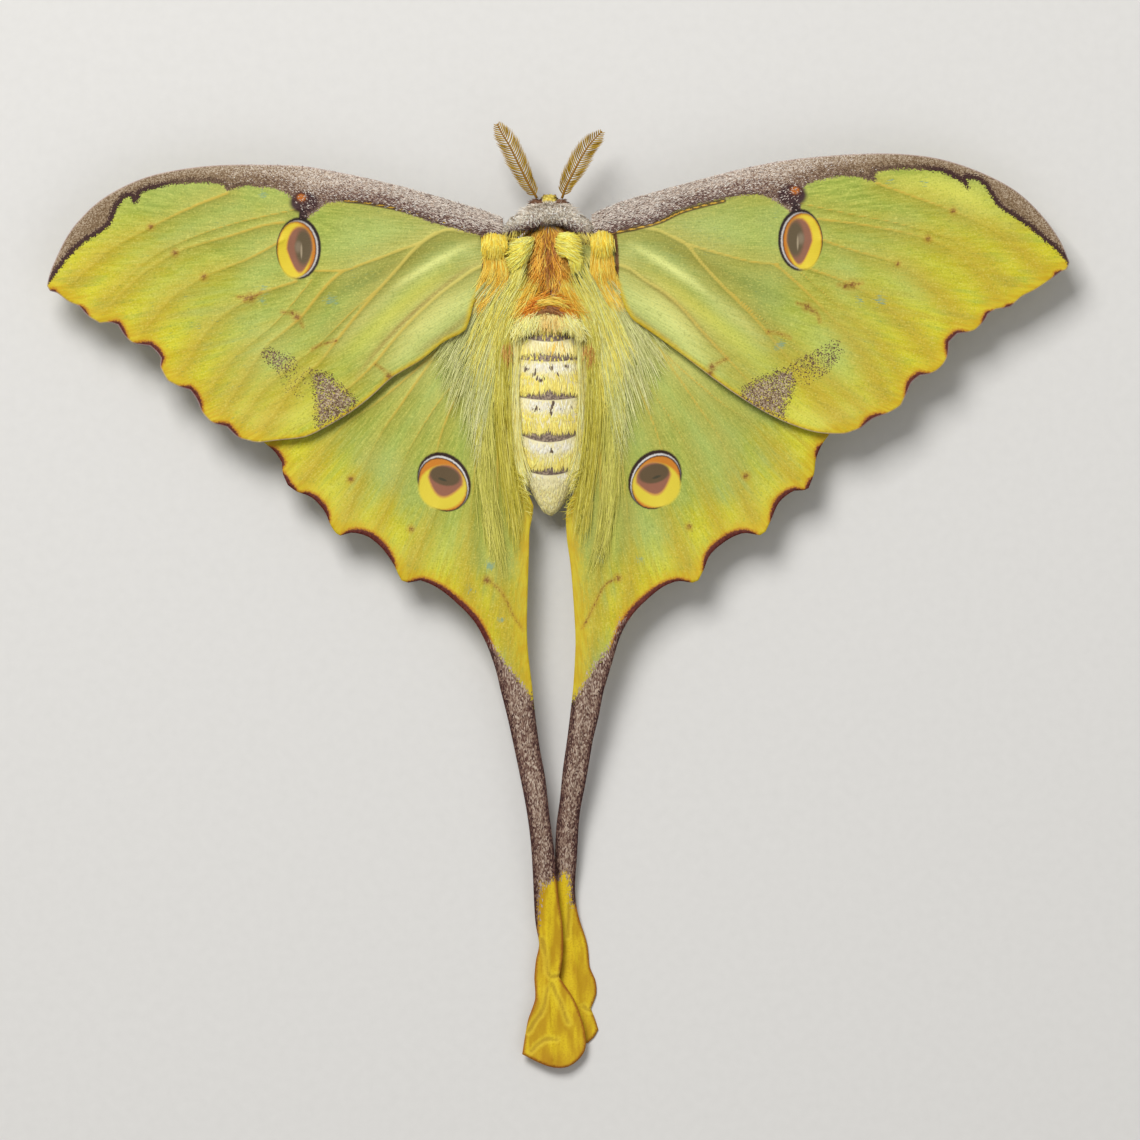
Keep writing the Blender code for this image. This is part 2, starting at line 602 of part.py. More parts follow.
def add_head(collection):
    """Head flattened at its sides, with the eyes as domes there."""
    bm = body_form(HEAD)
    middle = place(HEAD[0][1], 0).x
    for vert in bm.verts:
        side = vert.co.x - middle
        vert.co.x = middle + max(-HEAD_SIDE * UNIT, min(HEAD_SIDE * UNIT, side))
    add_object("head", bm, "thorax", collection)
    for side, sign in (("l", -1), ("r", 1)):
        bm = bmesh.new()
        bmesh.ops.create_uvsphere(bm, u_segments=14, v_segments=10, radius=1.0)
        bmesh.ops.bisect_plane(bm, geom=bm.verts[:] + bm.edges[:] + bm.faces[:], dist=1e-6,
                               plane_co=(0, 0, 0), plane_no=(sign, 0, 0), clear_inner=True)
        rim = [e for e in bm.edges if e.is_boundary]
        bmesh.ops.holes_fill(bm, edges=rim, sides=0)
        back = middle + sign * (HEAD_SIDE * UNIT + TOUCH_GAP)
        centre = Vector((back, place(0, EYE_PLACE[0]).y, EYE_PLACE[1] * MM))
        for vert in bm.verts:
            vert.co = centre + Vector((vert.co.x * EYE_DEPTH, vert.co.y * EYE_RADIUS,
                                       vert.co.z * EYE_RADIUS))
        add_object("eye_" + side, bm, "eye", collection)


def add_palps(collection):
    """Two short upturned palps under the front of the face."""
    for side, sign in (("l", -1), ("r", 1)):
        root = place(HEAD[0][1], PALP_ROOT, PALP_HEIGHT) + Vector((sign * PALP_ASIDE, 0, 0))
        points = [root + Vector((0, ahead, up)) for ahead, up in PALP_LINE]
        add_object("palp_" + side, tube(points, PALP_RADII, 6), "leg", collection)


def add_antenna(side, collection):
    """Feathered antenna: a tapered shaft with a comb of slim teeth on both sides."""
    line = [place(px, py, z * MM) for px, py, z in ANTENNA_SHAFT[side]]
    shaft = smooth(line, SHAFT_STEP) + [line[-1]]
    count = len(shaft)
    radii = [ANTENNA_ROOT_RADIUS + (ANTENNA_TIP_RADIUS - ANTENNA_ROOT_RADIUS) * i / (count - 1)
             for i in range(count)]
    core = add_object("antenna_" + side, tube(shaft, radii, 6), "antenna", collection)
    pieces = piece_collection("comb_" + side)
    for pair in range(COMB_PAIRS):
        share = COMB_FROM + (COMB_UNTIL - COMB_FROM) * pair / (COMB_PAIRS - 1)
        index = share * (count - 1)
        low = int(index)
        root = shaft[low].lerp(shaft[min(low + 1, count - 1)], index - low)
        along = (shaft[min(low + 1, count - 1)] - shaft[low]).normalized()
        swell = COMB_SHORTEST + (1.0 - COMB_SHORTEST) * math.sin(math.pi * share)
        for sign in (-1, 1):
            out = Vector((-along.y, along.x, 0)) * sign
            lean = along * math.cos(COMB_SWEEP) + out * math.sin(COMB_SWEEP)
            tip = root + lean * COMB_LENGTH * swell
            tooth = tube([root, tip], [COMB_ROOT_RADIUS, COMB_TIP_RADIUS], 4)
            add_object(f"tooth_{pair}_{sign}", tooth, "antenna", pieces)
    fuse(core, pieces)


def add_legs(collection):
    """Six short legs folded out under the wings, with the last joints flat on the floor."""
    for name, joints in LEGS.items():
        for side, sign in (("l", -1), ("r", 1)):
            line = [Vector((sign * x * MM, y * MM, z * MM)) for x, y, z in joints]
            points = smooth(line, LEG_STEP) + [line[-1]]
            count = len(points)
            radii = []
            for i in range(count):
                t = i / (count - 1) * (len(LEG_RADII) - 1)
                low = min(int(t), len(LEG_RADII) - 2)
                radii.append(LEG_RADII[low] + (LEG_RADII[low + 1] - LEG_RADII[low]) * (t - low))
            bm = tube(points, radii, 6)
            for vert in bm.verts:
                vert.co.z = max(0.0, vert.co.z)
            add_object(f"leg_{name}_{side}", bm, "leg", collection)


def build():
    """Makes the whole moth."""
    for obj in list(bpy.data.objects):
        bpy.data.objects.remove(obj, do_unlink=True)
    random.seed(SEED)
    moth = bpy.data.collections.new("moon_moth")
    bpy.context.scene.collection.children.link(moth)
    thorax = add_object("thorax", body_form(THORAX), "thorax", moth)
    add_locks(thorax, BACK_ROWS + SIDE_ROWS + mirrored(SIDE_ROWS))
    add_object("abdomen", body_form(abdomen_stations()), "abdomen", moth)
    add_collar(moth)
    add_head(moth)
    add_palps(moth)
    for side in ("l", "r"):
        add_antenna(side, moth)
    add_legs(moth)
    for name, stretches, finish in (
            ("forewing_l", FOREWING_LEFT, "wing"), ("forewing_r", FOREWING_RIGHT, "wing"),
            ("hindwing_l", HINDWING_LEFT, "wing"), ("hindwing_r", HINDWING_RIGHT, "wing"),
            ("tail_l", TAIL_LEFT, "tail"), ("tail_r", TAIL_RIGHT, "tail")):
        add_wing(name, stretches, finish, moth)
    add_locks(bpy.data.objects["hindwing_l"], WING_HAIR_ROWS, "hindwing_l")
    add_locks(bpy.data.objects["hindwing_r"], mirrored(WING_HAIR_ROWS), "hindwing_r")


build()
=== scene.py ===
"""African moon moth, spread and dried as a museum shows it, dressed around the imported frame.

Places are read off a plan of the specimen seen from straight above, whose units run to the right
and down. Lengths are in metres, with the body along Y, the head towards +Y and +Z up.
"""
import math

import bmesh
import bpy
import numpy as np
from mathutils import Matrix, Vector, noise


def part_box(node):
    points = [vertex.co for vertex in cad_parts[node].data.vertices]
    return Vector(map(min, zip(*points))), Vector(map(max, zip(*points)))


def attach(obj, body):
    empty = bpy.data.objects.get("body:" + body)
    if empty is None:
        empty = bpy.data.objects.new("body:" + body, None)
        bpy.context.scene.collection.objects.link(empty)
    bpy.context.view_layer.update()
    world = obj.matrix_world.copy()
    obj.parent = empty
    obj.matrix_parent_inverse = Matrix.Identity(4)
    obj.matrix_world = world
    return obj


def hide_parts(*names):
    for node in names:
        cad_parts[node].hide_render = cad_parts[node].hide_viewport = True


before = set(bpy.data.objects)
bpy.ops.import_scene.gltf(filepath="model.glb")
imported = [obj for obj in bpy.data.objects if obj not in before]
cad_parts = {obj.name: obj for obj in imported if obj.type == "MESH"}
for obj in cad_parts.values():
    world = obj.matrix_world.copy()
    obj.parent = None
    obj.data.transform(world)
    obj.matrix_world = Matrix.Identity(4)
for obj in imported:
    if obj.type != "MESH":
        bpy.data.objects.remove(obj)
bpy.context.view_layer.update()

# The view. The moth fills a square picture taken from straight above. It lies on a plain pale floor,
# under one broad soft lamp beyond its head, a weaker one behind it and an even pale sky.
MM = 0.001
PLAN_SPAN = 1022.5
PLAN_SIDE = 1140.0
PLAN_CENTRE = np.array((549.0, 265.0))
UNIT = (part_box("forewing_r")[1].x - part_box("forewing_l")[0].x) / PLAN_SPAN
CAMERA_HEIGHT = 1.5
WING_LEVEL = 5.0 * MM
SENSOR_WIDTH = 36.0
FLOOR_SIDE = 1.6
LAMPS = (("key_lamp", (-0.22, 0.42, 0.60), 0.36, 6.1), ("fill_lamp", (0.35, -0.40, 0.55), 0.60, 0.75))
SKY_STRENGTH = 0.32


def plan(points):
    """Points of the plan in metres, as rows of x and y."""
    return (np.atleast_2d(np.array(points, float)) - PLAN_CENTRE) * (UNIT, -UNIT)


class Signal:
    """A socket of a material. Sums and products written with it add their Math nodes."""

    def __init__(self, tree, socket=None):
        self.tree = tree
        self.socket = socket

    def node(self, kind, settings=(), sockets=(), output=0):
        """Adds a node with its settings, then the values or links of its sockets."""
        made = self.tree.nodes.new(kind)
        for name, setting in dict(settings).items():
            if name == "stops":
                stops = made.color_ramp.elements
                while len(stops) < len(setting):
                    stops.new(1.0)
                for stop, (place, tint) in zip(stops, setting):
                    stop.position = place
                    stop.color = (*tint, 1.0)
            else:
                setattr(made, name, setting)
        for name, value in dict(sockets).items():
            if isinstance(value, Signal):
                value.feed(made.inputs[name])
            else:
                made.inputs[name].default_value = value
        return Signal(self.tree, made.outputs[output])

    def feed(self, socket):
        """Links this to a socket."""
        self.tree.links.new(self.socket, socket)

    def where(self):
        """Places in the piece's own frame."""
        return self.node("ShaderNodeTexCoord", output=3)

    def math(self, operation, *values):
        return self.node("ShaderNodeMath", {"operation": operation}, dict(enumerate(values)))

    def __add__(self, other):
        return self.math("ADD", self, other)

    __radd__ = __add__

    def __sub__(self, other):
        return self.math("SUBTRACT", self, other)

    def __rsub__(self, other):
        return self.math("SUBTRACT", other, self)

    def __mul__(self, other):
        return self.math("MULTIPLY", self, other)

    __rmul__ = __mul__

    def __truediv__(self, other):
        return self.math("DIVIDE", self, other)

    def least(self, other):
        return self.math("MINIMUM", self, other)

    def most(self, other):
        return self.math("MAXIMUM", self, other)

    def rise(self, low, high):
        """0 up to low and 1 from high on, with a smooth step between."""
        return self.node("ShaderNodeMapRange", {"interpolation_type": "SMOOTHSTEP"},
                         {"Value": self, "From Min": low, "From Max": high})

    def mix(self, first, second):
        """The first colour where this is 0 and the second where it is 1."""
        return self.node("ShaderNodeMix", {"data_type": "RGBA"}, {0: self, 6: first, 7: second}, 2)

    def vector(self, operation, *values):
        return self.node("ShaderNodeVectorMath", {"operation": operation}, dict(enumerate(values)))

    def grain(self, where, scale, detail=2.0):
        """Noise over a vector, from about 0.25 to 0.75."""
        return self.node("ShaderNodeTexNoise", {}, {"Vector": where, "Scale": scale, "Detail": detail})

    def attribute(self, name, output=2):
        """A value that the mesh carries at each point."""
        return self.node("ShaderNodeAttribute", {"attribute_name": name}, {}, output)


def colour(red, green, blue):
    """A colour of a picture on screen, from 0 to 255, as the shader's own numbers."""
    levels = [c / 255.0 for c in (red, green, blue)]
    return tuple(c / 12.92 if c < 0.04045 else ((c + 0.055) / 1.055) ** 2.4 for c in levels) + (1.0,)


def new_material(name, roughness=0.7, shine=0.5):
    """A material with its Principled shader, as rough and as shiny all over."""
    material = bpy.data.materials.new(name)
    material.use_nodes = True
    shader = material.node_tree.nodes["Principled BSDF"]
    shader.inputs["Roughness"].default_value = roughness
    shader.inputs["Specular IOR Level"].default_value = shine
    return material, Signal(material.node_tree), shader.inputs


def placed(name, mesh, material, slot, *nodes):
    """Makes a mesh a finished piece, which rides on the moth and may stand for CAD nodes."""
    mesh.materials.append(material)
    piece = bpy.data.objects.new(name, mesh)
    bpy.context.scene.collection.objects.link(piece)
    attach(piece, "root")
    if nodes:
        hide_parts(*nodes)
    return piece


def settle(bm, faces):
    """Sorts faces among themselves by their places, because operators leave them in an order that
    changes from run to run, and hairs are drawn over them in their order."""
    bm.faces.index_update()
    slots = sorted(face.index for face in faces)
    for slot, face in zip(slots, sorted(faces, key=lambda face: tuple(face.calc_center_median()))):
        face.index = slot
    bm.faces.sort()
    bm.faces.index_update()


def show(name, bm, material, slot, *nodes):
    """Makes a finished piece of a shape in progress, shaded smooth."""
    mesh = bpy.data.meshes.new(name)
    bm.to_mesh(mesh)
    bm.free()
    mesh.shade_smooth()
    return placed(name, mesh, material, slot, *nodes)


floor_material, paint, shader = new_material("pale_floor", 0.85)
fleck = paint.grain(paint.where(), 900.0)
fleck.mix(colour(208, 206, 202), colour(214, 212, 208)).feed(shader["Base Color"])
bm = bmesh.new()
bmesh.ops.create_grid(bm, x_segments=1, y_segments=1, size=FLOOR_SIDE / 2)
floor_mesh = bpy.data.meshes.new("floor")
bm.to_mesh(floor_mesh)
bm.free()
floor_mesh.materials.append(floor_material)
floor = bpy.data.objects.new("floor", floor_mesh)
bpy.context.scene.collection.objects.link(floor)

for name, place, size, power in LAMPS:
    lamp = bpy.data.lights.new(name, "AREA")
    lamp.size = size
    lamp.energy = power
    holder = bpy.data.objects.new(name, lamp)
    holder.location = place
    holder.rotation_euler = (-Vector(place)).to_track_quat("-Z", "Y").to_euler()
    bpy.context.scene.collection.objects.link(holder)

world = bpy.data.worlds.new("pale_sky")
world.use_nodes = True
world.node_tree.nodes["Background"].inputs["Color"].default_value = (1.0, 1.0, 1.0, 1.0)
world.node_tree.nodes["Background"].inputs["Strength"].default_value = SKY_STRENGTH
bpy.context.scene.world = world
bpy.context.scene.view_settings.view_transform = "Standard"

view = bpy.data.cameras.new("view")
view.sensor_width = SENSOR_WIDTH
view.lens = SENSOR_WIDTH * (CAMERA_HEIGHT - WING_LEVEL) / (PLAN_SIDE * UNIT)
view.clip_end = 10.0
camera = bpy.data.objects.new("camera", view)
camera.location = (*plan((PLAN_SIDE / 2, PLAN_SIDE / 2))[0], CAMERA_HEIGHT)
bpy.context.scene.collection.objects.link(camera)
bpy.context.scene.camera = camera

# The wings. Each is a thin pleated membrane on hollow veins, covered in scales, in one piece with
# its tail. It follows the frame's outline at the frame's height, and its markings are told from
# how far each point lies from the margin, the veins and the drawn lines, all kept on its mesh. A
# vein has its strength, a dot or rub its size, a patch the most that it adds, and a tint its width
# and strength.
SHEET_STEP = 0.24 * MM
SHEET_THICKNESS = 0.11 * MM
CORNER_TURN = math.radians(26)
ROOT_REACH = 22.0
UNDERLAP = 1.6 * MM
HINDWING_LEVEL = 4.7 * MM
FOREWING_LEVEL = 5.85 * MM
OUTER_DROOP = 0.8 * MM
TAIL_FALL = (640.0, 985.0)
TAIL_LEVEL = 0.25 * MM
CROSSING = (745.0, 830.0)
CROSSING_RAISE = 1.0 * MM
VEIN_RISE = 0.10 * MM
VEIN_SPREAD = 0.42 * MM
PLEAT_DEPTH = 0.26 * MM
MARGIN_WAVE = 0.16 * MM
BROAD_WAVE = 0.12 * MM
FLOOR_CLEARANCE = 0.02 * MM
LINE_SPREAD = 2.2
FLOW_RADIUS = 40.0
TINTS = ("olive", "mint", "lemon", "lime", "brown")
FAR = 9.0

FOREWING_L = {
    "veins": [
        ([(510, 240), (480, 234), (452, 229.8), (440, 232), (420, 243), (400, 250), (381, 257.5),
          (360, 265), (344, 270.5), (315, 271)], 1.0),
        ([(344, 270.5), (330, 282), (317, 297), (300, 318), (280, 335), (262, 352), (217, 420)], 0.9),
        ([(436, 233), (425, 240), (411, 253), (399, 267), (384.5, 283), (370, 299.5), (356, 316),
          (335.5, 342), (319, 363), (300, 380), (258, 436)], 1.0),
        ([(384.5, 283), (352, 312), (322, 342), (292, 366), (262, 392), (238, 428)], 0.45),
        ([(510, 262), (480, 267), (460, 279), (440, 294), (420, 312), (400, 332.5), (383, 353),
          (375, 363), (360, 378), (340, 395), (326, 408)], 1.0),
        ([(298, 209), (240, 222), (196, 236), (151, 258), (104, 300)], 0.5),
        ([(228, 193), (190, 208), (151, 227), (110, 250), (72, 284)], 0.8),
        ([(285, 222), (262, 226), (230, 236), (200, 244), (175, 253), (140, 276), (102, 314)], 0.75),
        ([(283, 240), (250, 258), (204, 277), (170, 300), (138, 338)], 0.75),
        ([(297, 281), (251, 298), (210, 328), (176, 380)], 0.75),
        ([(312, 280), (276, 322), (230, 362), (202, 404)], 0.45),
        ([(500, 236), (470, 229), (440, 220), (400, 208), (360, 199), (330, 196)], 0.95),
    ],
    "band": [(20, 290), (47.5, 283), (52, 279), (61, 267), (69, 256), (80, 245.5), (89, 239),
             (100, 232.5), (108.5, 226.5), (112.5, 218.5), (117, 207), (124, 198.5), (130, 195.5),
             (134, 203), (138, 201), (140, 193), (147, 190), (159, 187), (173, 184), (188, 182.4),
             (210, 182.4), (224, 184), (227, 190), (230, 190), (234, 188), (248, 185), (261, 187),
             (275, 188), (285, 192), (292, 197), (294.7, 203), (301, 211), (302.5, 218),
             (308, 218), (311, 214.5), (319, 208.5), (327, 202.3), (341.5, 200.7), (360, 202),
             (380, 205), (400, 210), (420, 217), (440, 224), (460, 229), (480, 234.5), (499, 238),
             (530, 240), (530, 195), (440, 175), (320, 140), (200, 140), (90, 160), (20, 240)],
    "outer": ((47, 286), (258, 442.5)),
    "rear": ((258, 442.5), (484, 283)),
    "scallops": [((50, 291), (57, 293)), ((79, 306), (88, 316)), ((112, 322.6), (127, 338)),
                 ((138, 344), (160, 368)), ((180, 387), (201.5, 411)), ((214.7, 423.7), (238, 437.5))],
    "dots": [((151, 227), 3.0), ((175, 253), 3.2), ((204, 277), 3.2), ((251, 298), 4.0),
             ((246, 299), 3.0), ((297, 317), 3.6), ((292, 313), 2.4), ((336, 341), 1.8),
             ((389, 376), 3.6), ((391, 384), 3.2)],
    "folds": [],
    "lines": [[(375, 364), (381, 368), (388, 374)], [(282, 312), (292, 314), (300, 320), (303, 327)],
              [(238, 297), (251, 298), (262, 292)], [(336, 341), (320, 345), (312, 350)]],
    "patch": [(9.0, [(311, 370), (330, 376), (345, 389), (358, 402), (345, 414), (331, 421), (318, 427),
                     (317, 410), (316, 398), (314, 383)]),
              (-0.5, [(268, 355), (290, 359), (312, 370), (317, 386), (300, 394), (288, 388), (281, 370)]),
              (-0.3, [(268, 354), (281, 358), (294, 365), (292, 369), (279, 363)])],
    "tints": [
        # The olive tints are the wing's own darker olive and, beside the pale fold and the brown vein,
        # painted shade.
        ("olive", 9, 0.9, [(478, 236), (455, 237), (438, 243), (410, 258), (378, 275), (345, 290),
                           (322, 300)]),
        ("olive", 14, 0.5, [(420, 262), (380, 292), (350, 322), (320, 348)]),
        ("olive", 5, 0.7, [(462, 262), (430, 284), (400, 306), (376, 328)]),
        # These pale tints are partly the wing's own pale scales and partly a painted highlight along the
        # membrane's fold.
        ("lime", 4, 1.0, [(476, 243), (462, 248), (440, 259), (420, 271), (400, 284), (385, 295)]),
        ("lime", 8, 0.5, [(400, 285), (373, 309), (350, 331), (330, 352)]),
        ("lemon", 9, 0.7, [(450, 268), (420, 290), (390, 315), (360, 342), (338, 362)]),
        ("lime", 15, 0.8, [(478, 290), (446, 306), (415, 330), (385, 352)]),
        ("lemon", 13, 0.9, [(334, 398), (300, 414), (262, 420), (232, 408)]),
        ("brown", 2.4, 0.8, [(478, 264), (460, 274), (421, 306), (396, 330), (375, 353), (357, 377)]),
        ("mint", 18, 0.7, [(270, 248), (256, 275), (252, 305)]),
        ("mint", 24, 0.7, [(284, 318), (268, 350), (256, 392)]),
        ("mint", 10, 0.4, [(400, 225), (360, 236), (330, 246)]),
        ("brown", 4, 0.6, [(476, 308), (452, 330), (418, 352)]),
        ("lime", 12, 0.5, [(446, 322), (410, 346), (376, 370)]),
    ],
    "trim": [(500, 237.5), (480, 231), (470, 229.5), (440, 222), (408, 211.5), (370, 203.5), (345, 200.5)],
    "rubs": [((265, 290), 16.0), ((283, 241), 9.0), ((262, 300), 10.0), ((262, 195), 8.0),
             ((330, 300), 14.0)],
    "root_line": [(482, 234), (484.5, 252), (484, 268), (482.5, 281)],
    "hub": (590, 236),
}
FOREWING_R = {
    "veins": [
        ([(586, 240), (620, 231), (640, 228), (656, 229.8), (670.5, 236), (687, 244), (729.8, 256.3),
          (754.5, 262.3), (778, 264)], 1.0),
        ([(775, 264), (800, 286), (836, 322), (860, 350), (889, 408)], 0.9),
        ([(674, 237), (687, 245), (701, 262.4), (719.6, 282.9), (740, 303.3), (756, 319.6),
          (770, 336), (789, 359.5), (820, 396), (846, 428)], 1.0),
        ([(719.6, 282.9), (752, 310), (784, 338), (818, 372), (872, 416)], 0.45),
        ([(586, 260), (624.7, 266.5), (646, 280.8), (664.5, 292), (681, 307), (701, 330),
          (715.5, 346), (728, 359.4), (740, 372), (766, 402)], 1.0),
        ([(799, 203), (850, 214), (900, 224), (960, 244), (1010, 286)], 0.5),
        ([(876, 183), (912, 196), (953, 211), (1000, 234), (1046, 274)], 0.8),
        ([(818, 219), (870, 226), (928, 239), (970, 262), (1004, 304)], 0.75),
        ([(822, 240), (852, 250), (898, 264), (935, 290), (970, 328)], 0.75),
        ([(808, 268), (852, 285), (893, 312), (940, 364)], 0.75),
        ([(800, 272), (836, 304), (876, 342), (908, 386)], 0.45),
        ([(598, 234), (630, 225), (660, 216), (700, 200), (740, 192), (770, 191)], 0.95),
    ],
    "band": [(1090, 275), (1069, 264), (1063, 256.3), (1053, 247), (1043, 239), (1030.5, 228),
             (1017, 218.7), (1004, 210.5), (997, 205), (991, 195), (985.7, 187), (979.5, 180.5),
             (966, 177.5), (969, 189.5), (962, 182), (950, 175), (940.5, 171.5), (922, 169),
             (904, 168.6), (885.5, 169.6), (873, 172.5), (876, 181), (868, 179.5), (862, 177),
             (845, 175.5), (831, 177), (815, 180.7), (805, 185), (800, 195), (799, 203),
             (800, 210), (791, 212), (785, 206.5), (775, 200), (766, 195.5), (756, 194),
             (740, 194.8), (720, 198.8), (700, 203), (680, 209.4), (665, 216), (658, 220.7),
             (650, 223.8), (635, 226), (620, 229.8), (605, 236), (570, 240), (570, 195),
             (660, 165), (780, 135), (900, 130), (1010, 150), (1090, 230)],
    "outer": ((1069.5, 262.5), (835, 434)),
    "rear": ((835, 434), (616, 283)),
    "scallops": [((1061, 271), (1053, 278)), ((1012, 305), (1003, 308.4)), ((990, 311.5), (982, 324)),
                 ((967, 332.5), (947.8, 357)), ((930, 373.7), (907, 394)), ((885, 414), (861, 428))],
    "dots": [((953, 211), 3.0), ((928, 239), 3.2), ((898, 264), 2.4), ((852, 285), 3.8),
             ((846, 286), 3.0), ((807, 307), 3.6), ((812, 311), 2.4), ((768, 332), 2.0),
             ((712, 367), 3.4), ((710, 374), 3.2)],
    "folds": [],
    "lines": [[(727, 359), (720, 362), (714, 366), (710, 375)],
              [(797, 303), (807, 307), (816, 312), (820, 322)], [(838, 285), (852, 285), (862, 283)],
              [(768, 332), (782, 334), (790, 338)]],
    "patch": [(9.0, [(792, 371), (775, 376), (760, 383), (744, 393), (756, 405), (772, 413), (787, 419),
                     (785, 408), (789, 395), (794, 382)]),
              (-0.42, [(790, 374), (800, 362), (818, 355), (836, 344), (838, 352), (826, 366), (806, 382)])],
    "tints": [
        # The olive tints are the wing's own darker olive and, beside the pale fold and the brown vein,
        # painted shade.
        ("olive", 9, 0.9, [(626, 239), (648, 238), (668, 245), (700, 262), (740, 282), (780, 300)]),
        ("olive", 14, 0.5, [(690, 262), (722, 285), (756, 318), (786, 348)]),
        ("olive", 5, 0.7, [(640, 262), (668, 280), (700, 304), (724, 326)]),
        # These pale tints are partly the wing's own pale scales and partly a painted highlight along the
        # membrane's fold.
        ("lime", 4, 1.0, [(630, 245), (645, 252), (665, 264), (685, 277), (700, 288), (712, 298)]),
        ("lime", 8, 0.5, [(705, 292), (730, 312), (750, 328), (768, 346)]),
        ("lemon", 9, 0.7, [(650, 272), (682, 296), (712, 320), (740, 342), (764, 366)]),
        ("lime", 15, 0.8, [(622, 286), (652, 302), (684, 330), (710, 354)]),
        ("lemon", 13, 0.9, [(768, 402), (800, 416), (838, 420), (868, 404)]),
        ("brown", 2.4, 0.7, [(622, 266), (646, 281), (681, 308), (704, 334), (728, 360)]),
        ("mint", 18, 0.7, [(832, 252), (846, 278), (850, 305)]),
        ("mint", 24, 0.7, [(812, 318), (836, 352), (850, 392)]),
        ("mint", 16, 0.7, [(880, 262), (905, 280), (935, 305)]),
        ("lemon", 13, 0.9, [(890, 184), (930, 186), (965, 196), (1000, 220)]),
        ("mint", 10, 0.4, [(700, 222), (740, 230), (772, 240)]),
        ("brown", 4, 0.6, [(624, 306), (646, 326), (676, 346)]),
        ("lime", 12, 0.5, [(652, 322), (688, 346), (720, 370)]),
    ],
    "trim": [(598, 239), (616, 232.5), (636, 228.5), (660, 222), (680, 212.5), (704, 205.5), (724, 201)],
    "rubs": [((890, 182), 12.0), ((925, 183), 9.0), ((880, 300), 16.0), ((860, 300), 12.0),
             ((780, 345), 10.0)],
    "root_line": [(615, 235), (616.5, 252), (617, 268), (615.5, 283)],
    "hub": (508, 236),
}
HINDWING_L = {
    "veins": [
        ([(508, 298), (470, 320), (420, 366), (380, 400), (340, 430), (300, 486)], 0.8),
        ([(440, 348), (404, 400), (372, 450), (342, 530)], 0.8),
        ([(500, 312), (468, 372), (446, 420), (436, 452)], 0.9),
        ([(436, 510), (422, 540), (407, 580)], 0.7),
        ([(468, 372), (440, 400), (408, 452), (390, 500), (374, 536)], 0.5),
        ([(504, 320), (490, 400), (478, 450), (470, 520), (468, 580), (480, 626)], 0.7),
        ([(508, 330), (500, 420), (497, 500), (500, 570), (508, 640), (520, 700), (532, 770),
          (541, 840), (546, 900), (548, 960), (549, 1020), (553, 1060)], 0.9),
    ],
    "band": [(480, 640), (488, 643), (496, 652), (506, 664), (518, 679), (530, 697), (536, 706),
             (546, 706), (560, 780), (570, 870), (562, 884), (554, 878), (546, 886), (541, 882),
             (538.8, 905), (537.4, 925), (535, 936), (520, 936), (505, 800), (485, 700), (470, 660)],
    "outer": ((262, 441), (480, 632)),
    "rear": ((511, 340), (532.5, 690)),
    "scallops": [((268, 446), (282, 466)), ((283, 474), (297, 491.5)), ((300, 493), (329, 522)),
                 ((343, 534.6), (395, 567)), ((410, 582), (500, 690))],
    "dots": [((351, 479), 3.4), ((411, 529), 3.0), ((487, 580), 3.6)],
    "lines": [[(485, 578), (493, 584), (500, 590), (507, 602), (513, 615), (523, 630)]],
    "folds": [[(542, 940), (546, 957), (547, 972), (552, 978), (560, 976)],
              [(547, 990), (543, 1010), (535, 1022), (528, 1033)],
              [(531, 1053), (538, 1045), (547, 1040), (556, 1041)],
              [(552, 985), (560, 1003), (568, 1024)]],
    "patch": [],
    "tints": [
        ("mint", 24, 0.6, [(484, 320), (452, 366), (420, 410)]),
        # This pale tint is painted light that lifts the hindwing where the forewing's shadow falls on it.
        ("lime", 13, 0.6, [(500, 300), (470, 326), (430, 356), (394, 386)]),
        ("mint", 20, 0.5, [(474, 515), (450, 540), (424, 560)]),
        ("mint", 20, 0.4, [(404, 430), (384, 455), (366, 486)]),
        ("olive", 6, 0.6, [(500, 480), (496, 530), (500, 590)]),
        ("olive", 7, 0.5, [(480, 470), (476, 530), (484, 590)]),
        ("lemon", 6, 0.6, [(490, 430), (487, 500), (492, 580)]),
        ("lemon", 20, 0.5, [(300, 470), (330, 500), (370, 540), (420, 570)]),
    ],
    "trim": [],
    "rubs": [((470, 590), 9.0), ((490, 566), 8.0), ((500, 620), 10.0)],
    "root_line": [(470, 286), (484, 283), (500, 281)],
    "hub": (560, 200),
}
